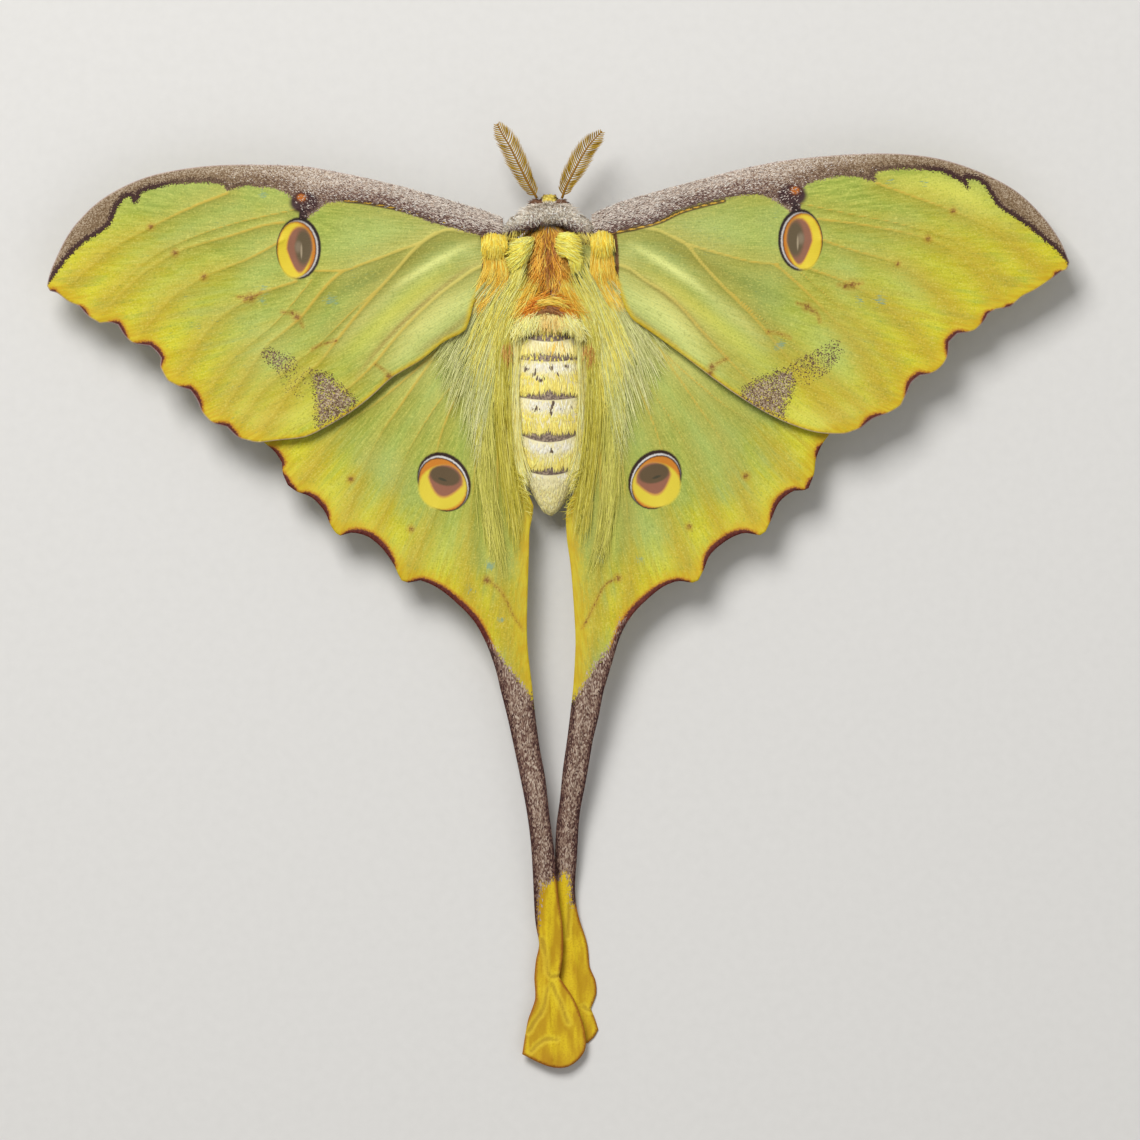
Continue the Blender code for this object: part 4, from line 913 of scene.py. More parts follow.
# The body under its fur: head, collar, thorax and abdomen in one skin, so that no seam shows. A
# spindle along the body and a yoke across its shoulders are melted together and smoothed. A station
# of the spindle has its place down and across, its half width and its lowest and highest point, and
# one of the yoke its place across and down, its half length, its height and its half thickness.
TRUNK = [
    (195, 549, 0, 3.1, 3.1), (197, 549, 6.5, 2.3, 4.0), (201, 549.5, 9, 1.9, 4.4),
    (206, 549.5, 12.5, 1.7, 4.6), (216, 549.5, 13.5, 1.7, 4.8), (223, 549, 16, 1.4, 5.2),
    (230, 549, 20, 1.0, 5.7), (240, 549, 26, 0.45, 6.2), (256, 549, 27.5, 0.4, 6.5),
    (272, 549, 27.5, 0.4, 6.6), (290, 549, 27.5, 0.4, 6.5), (306, 549, 27, 0.45, 6.1),
    (318, 548.5, 28, 0.6, 5.6), (324, 547.5, 31, 0.5, 6.0), (335, 547.5, 33, 0.4, 6.35),
    (350, 547.5, 34.8, 0.35, 6.55), (385, 548.5, 36, 0.3, 6.7), (420, 549.5, 35.5, 0.3, 6.6),
    (450, 550, 33, 0.35, 6.2), (470, 551, 29.5, 0.5, 5.7), (485, 551, 23, 0.9, 5.2),
    (500, 551, 15, 1.4, 4.6), (510, 550.5, 8.5, 2.0, 4.0), (516.5, 550, 0, 3.0, 3.0),
]
YOKE = [
    (505, 231, 0, 5.4, 0), (508, 230, 5, 5.5, 0.6), (515, 225.5, 7, 5.6, 0.9), (526, 221, 8, 5.7, 1.0),
    (535.5, 216.5, 7.5, 6.0, 0.7), (549.5, 213, 6.5, 6.1, 0.6), (563, 216, 7, 6.0, 0.7),
    (574, 222.5, 8, 5.7, 1.0), (583, 227, 7.5, 5.6, 0.9), (589, 229.5, 5, 5.5, 0.6), (592, 230, 0, 5.4, 0),
]
SKIN_GRAIN = 0.30 * MM
BANDS = [
    (342.0, 337.5, 10.0, 26.0, 0.0), (362.0, 359.0, 9.5, 31.0, 2.0), (400.5, 396.5, 9.0, 33.0, 5.0),
    (442.5, 432.0, 9.5, 33.0, 5.0), (475.5, 468.0, 7.0, 27.0, 3.5),
]


def sampled(line, places):
    """Points of a line at places that are counted along its own points."""
    return np.stack([np.interp(places, range(len(line)), column) for column in line.T], 1)


def lofted(stations, sides=32):
    """A round closed form through its stations: a centre and its two half sizes as vectors."""
    stations = np.array([[*centre, *across, *up] for centre, across, up in stations])
    fine = sampled(stations, np.linspace(0, len(stations) - 1, 4 * len(stations)))
    bm = bmesh.new()
    bmesh.ops.create_uvsphere(bm, u_segments=sides, v_segments=len(fine) - 1, radius=1.0)
    for vert in bm.verts:
        ring = round(math.acos(max(-1.0, min(1.0, vert.co.z))) / math.pi * (len(fine) - 1))
        turn = math.atan2(vert.co.y, vert.co.x)
        centre, across, up = fine[ring, :3], fine[ring, 3:6], fine[ring, 6:]
        vert.co = centre + across * math.cos(turn) + up * math.sin(turn)
    bmesh.ops.recalc_face_normals(bm, faces=bm.faces[:])
    return bm


def melted(bm, grain):
    """Overlapping closed forms as one smooth skin."""
    mesh = bpy.data.meshes.new("melt")
    bm.to_mesh(mesh)
    bm.free()
    lump = bpy.data.objects.new("melt", mesh)
    bpy.context.scene.collection.objects.link(lump)
    remesh = lump.modifiers.new("melt", "REMESH")
    remesh.mode = "VOXEL"
    remesh.voxel_size = grain
    bpy.context.view_layer.update()
    lump_now = lump.evaluated_get(bpy.context.evaluated_depsgraph_get())
    whole = bmesh.new()
    whole.from_mesh(lump_now.data)
    bpy.data.objects.remove(lump)
    bpy.data.meshes.remove(mesh)
    for _ in range(5):
        bmesh.ops.smooth_vert(whole, verts=whole.verts[:], factor=0.5, use_axis_x=True,
                              use_axis_y=True, use_axis_z=True)
    return whole


def body_unwrap(points):
    """Place of a point of the body on its unwrap: round the body and along it."""
    round_body = np.arctan2(points[:, 0], points[:, 2] - 3.4 * MM) / (2 * np.pi) + 0.5
    along = (PLAN_CENTRE[1] - points[:, 1] / UNIT - 190.0) / 330.0
    return np.stack([round_body, along], 1) * 0.96 + 0.02


def unwrap(piece, rule):
    """Lays out a skin by a rule, and keeps each face whole where the rule wraps round."""
    mesh = piece.data
    points = np.array([v.co[:] for v in mesh.vertices])
    corners = np.array([loop.vertex_index for loop in mesh.loops])
    places = rule(points)[corners]
    for face in mesh.polygons:
        run = slice(face.loop_start, face.loop_start + face.loop_total)
        wrapped = places[run, 0]
        if wrapped.max() - wrapped.min() > 0.5:
            places[run, 0] = np.where(wrapped < 0.5, wrapped + 0.96, wrapped)
    layer = mesh.uv_layers.new(name="OFBake")
    layer.data.foreach_set("uv", places.astype(np.float32).ravel())


def band_edges(aside):
    """Each dark band's front and rear edge beside the middle line, and whether it reaches so far."""
    for middle, side, thick, half, peak in BANDS:
        share = np.clip(np.abs(aside) / half, 0, 1)
        lower = middle - (middle - side) * share ** 2
        upper = lower - thick * np.sqrt(1.0 - share ** 2) - peak * np.clip(1.0 - np.abs(aside) / 7.0, 0, 1)
        yield upper, lower, np.abs(aside) < half


def band_depth(down, aside):
    """How deep a place of the abdomen lies in one of its dark bands, in plan units."""
    depth = np.full(np.shape(down), -FAR)
    for upper, lower, reached in band_edges(aside):
        inner = np.minimum(lower - down, down - upper)
        depth = np.maximum(depth, np.where(reached, inner, -FAR))
    return depth


def skin_finish():
    """Orange-brown skin on the thorax, cream on the abdomen with dark grey-brown bands."""
    material, paint, shader = new_material("body_skin", 0.6)
    where = paint.where()
    x, y = (paint.node("ShaderNodeSeparateXYZ", {}, {0: where}, i) for i in (0, 1))
    down, aside = y / -UNIT + PLAN_CENTRE[1], x / UNIT
    aside = aside.math("ABSOLUTE", aside)
    flake = paint.grain(where, 4200.0, 2.0)
    cloud = paint.grain(where, 700.0, 2.0)
    tone = (down + (cloud - 0.5) * 12.0).rise(310.0, 320.0).mix(
        cloud.rise(0.35, 0.65).mix(colour(150, 84, 30), colour(196, 130, 50)),
        cloud.rise(0.35, 0.65).mix(colour(226, 214, 160), colour(238, 228, 184)))
    tone = (down + (cloud - 0.5) * 8.0).rise(238.0, 228.0).mix(tone, colour(150, 134, 120))
    for middle, side, thick, half, peak in BANDS:
        share = (aside / half).least(1.0)
        bowed = share * share
        lower = middle - bowed * (middle - side)
        arch = (1.0 - bowed).math("SQRT", 1.0 - bowed)
        upper = lower - arch * thick - (1.0 - aside / 7.0).most(0.0) * peak
        inner = (lower - down).least(down - upper + (flake - 0.5) * 3.0)
        dark = flake.rise(0.35, 0.7).mix(colour(96, 78, 68), colour(160, 140, 118))
        tone = inner.rise(-0.5, 0.7).mix(tone, dark)
    tone.feed(shader["Base Color"])
    bump = paint.node("ShaderNodeBump", {}, {"Strength": 0.5, "Distance": 0.08 * MM, "Height": flake})
    bump.feed(shader["Normal"])
    return material


spindle = lofted([
    ((*plan((px, py))[0], (low + high) / 2 * MM), (half * UNIT, 0, 0), (0, 0, (high - low) / 2 * MM))
    for py, px, half, low, high in TRUNK], 48)
yoke = lofted([((*plan((px, py))[0], high * MM), (0, half * UNIT, 0), (0, 0, rise * MM))
               for px, py, half, high, rise in YOKE])
mesh = bpy.data.meshes.new("yoke")
yoke.to_mesh(mesh)
yoke.free()
spindle.from_mesh(mesh)
bpy.data.meshes.remove(mesh)
body = show("body_skin", melted(spindle, SKIN_GRAIN), skin_finish(), "abdomen", "thorax", "abdomen",
            "head", "collar")
unwrap(body, body_unwrap)

# The fur. Every hair is a slim solid spike with three sides that lies back along the body. Each
# coat is one mesh, and a hair runs from its own colour at its tip to painted shade at its root.
HAIR_TAPER = ((0.0, 0.3, 0.7, 1.0), (0.65, 1.0, 0.75, 0.0))
HAIR_HEIGHT = 0.65
PATCH_SIDE = 0.003
draw = np.random.default_rng(5)


def unit(vectors):
    return vectors / np.maximum(np.linalg.norm(vectors, axis=-1, keepdims=True), 1e-12)


def tones(count, shades, spread=10.0):
    """A colour for each hair, drawn between the shades that its coat is made of."""
    shades = np.array(shades, float)
    pick = draw.random(count) * (len(shades) - 1)
    low = np.minimum(pick.astype(int), len(shades) - 2)
    mixed = shades[low] + (shades[low + 1] - shades[low]) * (pick - low)[:, None]
    return np.clip(mixed + draw.normal(0.0, spread, (count, 1)), 4, 255)


def linear(screen):
    """Screen colours as the shader's own numbers."""
    levels = screen / 255.0
    return np.where(levels < 0.04045, levels / 12.92, ((levels + 0.055) / 1.055) ** 2.4)


def fur_finish(name, roughness=0.55):
    """Hair coloured by the tone it carries, with painted shade towards its root, and a fine mottle."""
    material, paint, shader = new_material(name, roughness, 0.3)
    own = paint.attribute("tone", output=0)
    mottle = paint.grain(paint.where(), 2600.0, 1.0).rise(0.3, 0.7) * 0.10
    mottle.mix(own, colour(90, 64, 36)).feed(shader["Base Color"])
    return material


def coat(name, lines, ups, spots, widths, roots, tips, material, slot):
    """One mesh of solid hairs along their lines, each a patch at its root's spot on the unwrap."""
    count, steps = lines.shape[:2]
    along = unit(np.gradient(lines, axis=1))
    side = unit(np.cross(along, ups[:, None, :]))
    over = np.cross(side, along)
    share = np.linspace(0.0, 1.0, steps)
    half = (np.interp(share, *HAIR_TAPER)[None, :] * np.reshape(widths, (-1, 1)) / 2)[:, :, None]
    rings = np.stack([lines - side * half, lines + side * half, lines + over * half * HAIR_HEIGHT], 2)
    points = np.concatenate([rings[:, :-1].reshape(count, -1, 3), lines[:, -1:]], 1)
    points[:, :, 2] = np.maximum(points[:, :, 2], FLOOR_CLEARANCE)
    per = points.shape[1]
    faces = [(0, 1, 2)]
    for ring in range(0, per - 4, 3):
        faces += [(ring + a, ring + 3 + a, ring + 3 + b, ring + b) for a, b in ((0, 1), (1, 2), (2, 0))]
    faces += [(per - 4 + a, per - 1, per - 4 + b) for a, b in ((0, 1), (1, 2), (2, 0))]
    everyone = [tuple(i + first for i in face) for first in range(0, count * per, per) for face in faces]
    mesh = bpy.data.meshes.new(name)
    mesh.from_pydata(points.reshape(-1, 3).tolist(), [], everyone)
    along_hair = np.append(np.repeat(share[:-1], 3), 1.0)
    # Each hair's colour runs from its root tone, darkened as painted shade, to its own colour at its tip.
    mixed = linear(roots)[:, None] + (linear(tips) - linear(roots))[:, None] * along_hair[None, :, None]
    rgba = np.concatenate([mixed, np.ones((count, per, 1))], 2)
    layer = mesh.attributes.new("tone", "FLOAT_COLOR", "POINT")
    layer.data.foreach_set("color", rgba.astype(np.float32).ravel())
    corner = np.array([i for face in faces for i in face])
    offset = np.stack([np.append(np.tile((-0.5, 0.5, 0.0), steps - 1), 0.0), along_hair - 0.5], 1)
    patch = spots[:, None] + offset[corner][None] * PATCH_SIDE
    uv = mesh.uv_layers.new(name="OFBake")
    uv.data.foreach_set("uv", patch.astype(np.float32).ravel())
    placed(name, mesh, material, slot)


def scatter(piece, count, where):
    """Points spread over the part of a skin that where() picks, their normals and unwrap spots."""
    mesh = piece.data
    mesh.calc_loop_triangles()
    points = np.array([v.co[:] for v in mesh.vertices])
    corners = points[np.array([t.vertices[:] for t in mesh.loop_triangles])]
    layer = mesh.uv_layers["OFBake"].data
    laid = np.array([[layer[i].uv[:] for i in t.loops] for t in mesh.loop_triangles])
    facing = np.cross(corners[:, 1] - corners[:, 0], corners[:, 2] - corners[:, 0])
    area = np.linalg.norm(facing, axis=1)
    middle = corners.mean(1)
    area = area * where(PLAN_CENTRE[1] - middle[:, 1] / UNIT, middle[:, 0] / UNIT, middle[:, 2] / MM)
    chosen = draw.choice(len(area), count, p=area / area.sum())
    a, b = np.sort(draw.random((2, count)), 0)
    weights = np.stack([a, b - a, 1.0 - b], 1)
    return ((corners[chosen] * weights[:, :, None]).sum(1), unit(facing[chosen]),
            (laid[chosen] * weights[:, :, None]).sum(1))


def combed(points, normals, ways, lengths, lift, curl, steps=4):
    """Lines of hair that leave a skin, bend over and lie along their ways."""
    ways = unit(ways - normals * (ways * normals).sum(1, keepdims=True))
    across = np.cross(ways, normals)
    share = np.linspace(0.0, 1.0, steps)[None, :, None]
    lengths, lift, curl = (np.reshape(v * np.ones(len(points)), (-1, 1, 1)) for v in (lengths, lift, curl))
    rise = normals[:, None] * lift * share * (1.5 - 0.9 * share)
    return points[:, None] + lengths * (ways[:, None] * share + rise + across[:, None] * curl * share ** 2)


def places_of(points):
    """Plan place of points: down the body and to its side."""
    return PLAN_CENTRE[1] - points[:, 1] / UNIT, points[:, 0] / UNIT


def strewn(piece, count, where):
    """Scattered points, with their normals, unwrap spots and plan places."""
    roots, normals, spots = scatter(piece, count, where)
    return (roots, normals, spots, *places_of(roots))


# The abdomen's coat: short flat scales, white along the front of each segment and yellow further on,
# that end in a ragged fringe over the bare dark front of the next segment. A few dark marks.
ABDOMEN_HAIRS = 11500
ABDOMEN_FRONT = 316
ABDOMEN_MARKS = [
    (537, 407, 3.0, 2.2), (553, 403, 1.6, 3.0), (551, 409, 1.8, 5.0), (561, 407, 2.0, 1.4),
    (571, 406, 1.4, 1.4), (551.6, 450, 1.8, 2.4), (526, 367, 3.2, 2.0), (535, 371, 3.0, 3.4),
    (540.5, 378, 3.6, 3.2), (551, 366, 1.6, 2.6), (557, 372, 2.2, 1.4), (566, 365, 2.4, 1.4),
]


def room_above(down, aside):
    """How far a place of the abdomen lies in front of the next dark band, in plan units."""
    room = np.full(len(down), 99.0)
    for upper, _, reached in band_edges(aside):
        room = np.where((upper > down) & reached, np.minimum(room, upper - down), room)
    return room


roots, normals, spots, down, aside = strewn(
    body, ABDOMEN_HAIRS, lambda down, aside, up: (down > ABDOMEN_FRONT) * 1.0)
above = normals[:, 2] > -0.2
inside = (band_depth(down + draw.normal(0, 0.5, len(down)), aside) > -0.4) & above
hairy = ~inside | ((draw.random(len(down)) < 0.22) & (down < 368))
roots, normals, spots, down, aside = (v[hairy] for v in (roots, normals, spots, down, aside))
count = len(roots)
share = np.clip(np.abs(aside) / 36.0, 0, 1) ** 2
past = np.full(count, 40.0)
for middle, side, *_ in BANDS:
    since = down - middle + (middle - side) * share
    past = np.where(since > -1.0, np.minimum(past, since), past)
flare = np.clip((np.abs(aside) - 27.0) / 6.0, 0, 1) * np.sign(aside) * (roots[:, 2] > 3.6 * MM)
swirl = np.array([noise.noise(Vector(p) * 500.0) for p in roots])
sideways = roots[:, 0] * 22.0 + flare * 0.5 + 0.3 * swirl + draw.normal(0, 0.12, count)
ways = np.stack([sideways, -np.ones(count), np.zeros(count)], 1)
lengths = (0.30 + 0.35 * draw.random(count)) * MM * (1.0 + 0.9 * np.abs(flare) * (down < 450))
room = room_above(down, aside)
fringe = room < 12.0
lengths = np.where(fringe, (room + 1.0 + 5.0 * draw.random(count) ** 2) * UNIT, lengths)
white = tones(count, [(244, 236, 210), (255, 250, 234)])
yellow = tones(count, [(244, 222, 96), (252, 236, 138)])
warm = np.clip((np.abs(aside) - 18.0) / 12.0, 0, 1) * 0.7
ripe = np.clip((past - 7.0 + 3.0 * swirl) / 8.0, 0, 0.9) * np.where(down > 478, 0.25, 1.0)
ripe = ripe + np.where(down < 362, 0.45, 0.0) + np.where(down > 476, 0.34, 0.0)
own = white + (yellow - white) * np.clip(ripe + warm, 0, 1)[:, None]
for x, y, wide, tall in ABDOMEN_MARKS:
    spread = 0.7 + 0.6 * draw.random(count)
    marked = (np.hypot((aside + PLAN_CENTRE[0] - x) / wide, (down - y) / tall) < spread) & ~fringe
    own = np.where(marked[:, None], tones(count, [(92, 76, 66), (130, 112, 92)], 6.0), own)
golden = (np.hypot((aside - 7.0) / 9.0, (down - 350.0) / 9.0) < draw.random(count) * 1.5) & (down > 341)
own = np.where(golden[:, None], tones(count, [(250, 206, 92), (255, 232, 150)]), own)
lines = combed(roots, normals, ways, lengths, 0.06 + 0.08 * draw.random(count), draw.normal(0, 0.10, count))
# The roots are darkened as painted shade deep in the coat.
coat("abdomen_fur", lines, normals, spots, (0.12 + 0.05 * draw.random(count)) * MM, own * 0.93, own,
     fur_finish("cream_fur"), "abdomen")

# The thorax's coat: long silky orange-brown hair down the back, darker along its middle, golden on
# its flanks and tousled at the waist.
BACK_HAIRS = 8000
BACK_FRONT, BACK_REAR = 226, 317
roots, normals, spots, down, aside = strewn(
    body, BACK_HAIRS, lambda down, aside, up: (down > BACK_FRONT) * (down < BACK_REAR) * 1.0)
count = len(roots)
tousled = np.clip((down - 280.0) / 20.0, 0, 1)
swirl = np.array([[noise.noise(Vector((x * 700.0, y * 160.0, k))) for k in (0.0, 5.0)] for x, y, _ in roots])
ways = np.stack([roots[:, 0] * 70.0 * (1 - tousled) + 0.9 * swirl[:, 0] * (1 + 2 * tousled)
                 + draw.normal(0, 0.14, count) * (1 + 4 * tousled), -np.ones(count), np.zeros(count)], 1)
lengths = (1.5 + 1.3 * draw.random(count)) * MM * (1.0 - 0.25 * tousled)
lengths = lengths * np.where(normals[:, 2] < -0.2, 0.5, 1.0)
back = tones(count, [(202, 128, 32), (242, 174, 58), (255, 210, 92), (226, 156, 46)], 16.0)
dusk = tones(count, [(160, 94, 44), (204, 140, 76)], 10.0)
ash = tones(count, [(150, 112, 92), (216, 180, 150)], 12.0)
gold = tones(count, [(240, 176, 50), (252, 214, 92)], 10.0)
rust = tones(count, [(206, 126, 32), (248, 178, 54), (255, 216, 100)], 16.0)
flank = tones(count, [(226, 202, 80), (250, 234, 130)], 10.0)
own = back + (rust - back) * tousled[:, None]
ashen = np.exp(-((down - 288.0) / 8.0) ** 2) * (np.abs(aside) < 15)
own = np.where((ashen * 0.45 > draw.random(count))[:, None], ash, own)
middling = 0.7 * np.exp(-(aside / 3.5) ** 2) * (down < 270) + 0.4 * swirl[:, 1]
own = np.where((middling > draw.random(count) * 0.9 + 0.15)[:, None], dusk, own)
sided = np.clip((np.abs(aside) - 13.0) / 9.0, 0, 1) * np.clip((down - 250.0) / 20.0, 0, 1)
own = np.where((sided > draw.random(count))[:, None], gold, own)
own = np.where((np.abs(aside) > 25)[:, None] | (normals[:, 2] < 0.1)[:, None], flank, own)
own = own * (1.0 + 0.35 * swirl[:, 1:])
lines = combed(roots, normals, ways, lengths, 0.10 + 0.16 * draw.random(count),
               draw.normal(0, 0.20, count), 5)
# The roots are darkened as painted shade deep in the coat.
coat("back_fur", lines, normals, spots, (0.07 + 0.04 * draw.random(count)) * MM, own * 0.8, own,
     fur_finish("orange_brown_fur"), "thorax")

# The collar's coat: short soft grey-white hair that stands up and forward over the back of the head
# and the eyes, with dark plum hair along its rear edge.
COLLAR_HAIRS = 8500
COLLAR_LINE = ((0.0, 14.0, 24.0, 34.0, 42.0), (213.0, 216.0, 221.5, 226.0, 230.0))


def on_yoke(down, aside, up):
    """Whether a place lies on the yoke that the collar grows from."""
    past = down - np.interp(np.abs(aside), *COLLAR_LINE)
    return (past < 6.0 + 0.14 * np.abs(aside)) * (past > -6.5) * (up > 3.4) * 1.0


roots, normals, spots, down, aside = strewn(body, COLLAR_HAIRS, on_yoke)
count = len(roots)
behind = np.clip((down - np.interp(np.abs(aside), *COLLAR_LINE)) / 8.0, -1, 1)
ways = np.stack([aside * 0.025 + draw.normal(0, 0.45, count), -behind - 0.05 + draw.normal(0, 0.35, count),
                 0.5 + 0.3 * draw.random(count)], 1)
grey = tones(count, [(150, 130, 110), (230, 216, 194), (255, 252, 240), (206, 190, 166)], 16.0)
plum = tones(count, [(100, 68, 70), (166, 136, 130)], 12.0)
rear = behind + 0.3 * np.array([noise.noise(Vector(p) * 900.0) for p in roots])
rear = rear - 0.5 * np.exp(-(aside / 10.0) ** 2)
own = np.where(((rear > 0.4) & (draw.random(count) < 0.75))[:, None], plum, grey)
lines = combed(roots, normals, ways, (0.50 + 0.40 * draw.random(count)) * MM, 0.45,
               draw.normal(0, 0.3, count))
# The roots are darkened as painted shade deep in the coat.
coat("collar_fur", lines, normals, spots, (0.07 + 0.04 * draw.random(count)) * MM, own * 0.84, own,
     fur_finish("grey_fur", 0.6), "collar")

# The head's coat: pale yellow hair on the face, brown round the feet of the antennae, and grey brows
# that hang over the eyes.
HEAD_HAIRS = 3200
roots, normals, spots, down, aside = strewn(
    body, HEAD_HAIRS, lambda down, aside, up: (down < 213) * (np.abs(aside) < 17) * 1.0)
count = len(roots)
brow = (down > 203.0) & (roots[:, 2] > 2.6 * MM)
ways = np.stack([np.where(brow, np.sign(aside) * 1.3, 0.0) + draw.normal(0, 0.35, count),
                 np.where(brow, 0.25, 0.5) + draw.normal(0, 0.2, count), 0.6 + draw.normal(0, 0.2, count)], 1)
face = tones(count, [(238, 206, 70), (252, 236, 130)], 10.0)
brown = tones(count, [(84, 54, 40), (136, 96, 70)], 10.0)
grey = tones(count, [(150, 130, 112), (226, 212, 194), (246, 238, 224)], 12.0)
beside = (np.hypot(np.abs(aside) - 12.5, down - 200.5) < 5.5) | (roots[:, 2] < 2.6 * MM)
own = np.where(brow[:, None], grey, face)
own = np.where(beside[:, None], brown, own)
lengths = np.where(brow, 0.6 + 0.4 * draw.random(count), 0.3 + 0.3 * draw.random(count)) * MM
lines = combed(roots, normals, ways, lengths, np.where(brow, 0.25, 0.5), draw.normal(0, 0.3, count))
# The roots are darkened as painted shade deep in the coat.
coat("head_fur", lines, normals, spots, (0.07 + 0.03 * draw.random(count)) * MM, own * 0.85, own,
     fur_finish("face_fur"), "thorax")

# Tufts and long hair at the roots of the wings. Lemon tufts stand on either side of the back, over
# orange locks that sweep onto the hindwings. Long fine hair, yellow beside the body and grey-green
# further out, flows over the hindwings' inner part and down their edges, and the waist has a rust
# curl over a cream fringe. A tuft has its count of hairs, the share of its length that they cover,
# how far they stray, its clumps, its shades and its guides, from root to tip, that they lie between.
LEMON = [(255, 226, 74), (255, 240, 102), (255, 250, 156)]
AMBER = [(244, 182, 52), (255, 210, 78), (255, 232, 120)]
STRAW = [(238, 220, 90), (254, 240, 116), (255, 250, 168)]
SUN = [(192, 178, 54), (216, 204, 80), (232, 222, 118)]
PALE = [(198, 202, 122), (220, 220, 142), (242, 238, 178)]
GREEN = [(196, 192, 84), (216, 210, 98), (238, 228, 122)]
CREAM = [(255, 238, 128), (255, 250, 182)]
PEACH = [(252, 210, 118), (255, 234, 158)]
RUST = [(208, 110, 22), (246, 154, 36), (255, 200, 74)]
EMBER = [(200, 130, 70), (230, 184, 92)]
BUTTER = [(244, 226, 112), (255, 242, 150), (255, 250, 190)]
GREY = [(190, 174, 154), (236, 224, 206), (250, 242, 230)]
UMBER = [(96, 62, 44), (150, 108, 78)]
SIENNA = [(140, 84, 50), (196, 140, 80)]
GOLDEN = [(248, 204, 54), (255, 224, 84), (255, 240, 130)]
FLOW_MIRROR = 1097
GUIDE_STEPS = 24
TUFTS_L = {
    "lemon": [
        (420, 0.62, 1.6, 14, GOLDEN, [
            [(483, 239, 6.0), (482, 248, 6.4), (483.5, 258, 6.1)],
            [(489, 236, 6.4), (489, 247, 7.1), (491, 261, 6.5)],
            [(497, 236, 6.5), (498, 246, 7.3), (499, 260, 6.7)],
            [(506, 238, 6.2), (506.5, 246, 6.8), (503, 257, 6.4)]]),
        (560, 0.55, 1.6, 16, LEMON, [
            [(529, 238, 6.8), (521, 240, 7.2), (511, 242, 6.8)],
            [(532, 240, 6.9), (523, 246, 7.5), (508, 253, 6.9)],
            [(531, 246, 6.8), (522, 255, 7.4), (506, 265, 6.7)],
            [(529, 254, 6.7), (521, 264, 7.0), (512, 274, 6.4)]]),
        (240, 0.6, 1.6, 10, STRAW, [
            [(524, 258, 6.6), (517, 268, 6.6), (509, 284, 6.0)],
            [(528, 258, 6.6), (521, 272, 6.6), (516, 290, 6.0)]]),
        (520, 0.42, 2.0, 16, AMBER, [
            [(485, 256, 6.1), (484, 268, 6.1), (481, 280, 5.8), (470, 300, 5.2)],
            [(491, 258, 6.5), (491, 272, 6.3), (483, 288, 5.7), (468, 312, 5.1)],
            [(499, 257, 6.6), (501, 272, 6.4), (494, 288, 5.8), (474, 314, 5.1)],
            [(504, 256, 6.4), (509, 273, 6.3), (503, 288, 5.8), (482, 312, 5.2)]]),
    ],
    "flow": [
        (760, 0.34, 2.6, 160, PALE, [
            [(484, 284, 5.9), (466, 304, 5.2), (448, 326, 5.0), (424, 352, 4.95)],
            [(496, 284, 5.9), (478, 312, 5.2), (458, 350, 5.0), (440, 396, 4.95)],
            [(506, 290, 5.9), (492, 330, 5.2), (476, 385, 5.0), (462, 440, 4.95)],
            [(512, 300, 5.9), (501, 345, 5.2), (490, 400, 5.0), (478, 470, 4.95)]]),
        (640, 0.30, 2.6, 140, STRAW, [
            [(506, 262, 6.2), (494, 290, 5.6), (478, 320, 5.2), (458, 358, 5.0)],
            [(516, 276, 6.4), (501, 304, 5.7), (488, 340, 5.2), (474, 395, 5.0)],
            [(521, 288, 6.4), (508, 316, 5.8), (499, 352, 5.2), (491, 412, 5.0)],
            [(523, 300, 6.3), (513, 324, 5.9), (507, 356, 5.2), (504, 425, 5.0)]]),
        (480, 0.24, 3.0, 140, GREEN, [
            [(478, 330, 5.0), (473, 390, 4.9), (476, 450, 4.9), (480, 500, 4.88), (490, 560, 4.86)],
            [(489, 326, 5.0), (483, 390, 4.9), (484, 450, 4.9), (489, 510, 4.88), (499, 570, 4.86)],
            [(500, 324, 5.1), (494, 390, 4.95), (493, 450, 4.92), (498, 520, 4.9), (508, 580, 4.86)]]),
        (380, 0.22, 2.2, 160, SUN, [
            [(499, 316, 5.5), (496, 370, 5.1), (497, 430, 5.0), (503, 490, 4.95), (511, 550, 4.9)],
            [(506, 316, 5.6), (503, 370, 5.2), (504, 430, 5.05), (511, 490, 5.0), (519, 545, 4.9)],
            [(512, 318, 5.6), (511, 370, 5.3), (512, 430, 5.2), (518, 480, 5.05), (526, 530, 4.9)]]),
        (30, 0.7, 3.4, 22, EMBER, [
            [(504, 340, 5.2), (504, 354, 5.4), (508, 372, 5.2)],
            [(512, 338, 5.4), (512, 354, 5.5), (512, 376, 5.2)]]),
        (520, 0.22, 1.6, 90, BUTTER, [
            [(520, 334, 5.7), (518.5, 380, 5.7), (519.5, 420, 5.6), (523, 452, 5.3), (532, 482, 5.0)],
            [(514, 334, 5.2), (513, 380, 5.1), (514, 420, 5.05), (518, 456, 4.95), (527, 488, 4.9)],
            [(510.5, 340, 5.0), (510, 385, 4.92), (511.5, 425, 4.9), (516, 461, 4.88), (525, 495, 4.86)]]),
        (50, 0.7, 2.0, 30, SUN, [
            [(512, 466, 4.95), (518, 470, 5.05), (524, 478, 4.95)],
            [(517, 484, 4.95), (523, 487, 5.05), (529, 493, 4.9)],
            [(522, 500, 4.95), (527, 502, 5.0), (532, 507, 4.85)],
            [(526, 516, 4.9), (529, 518, 4.95), (533, 523, 4.8)]]),
    ],
}
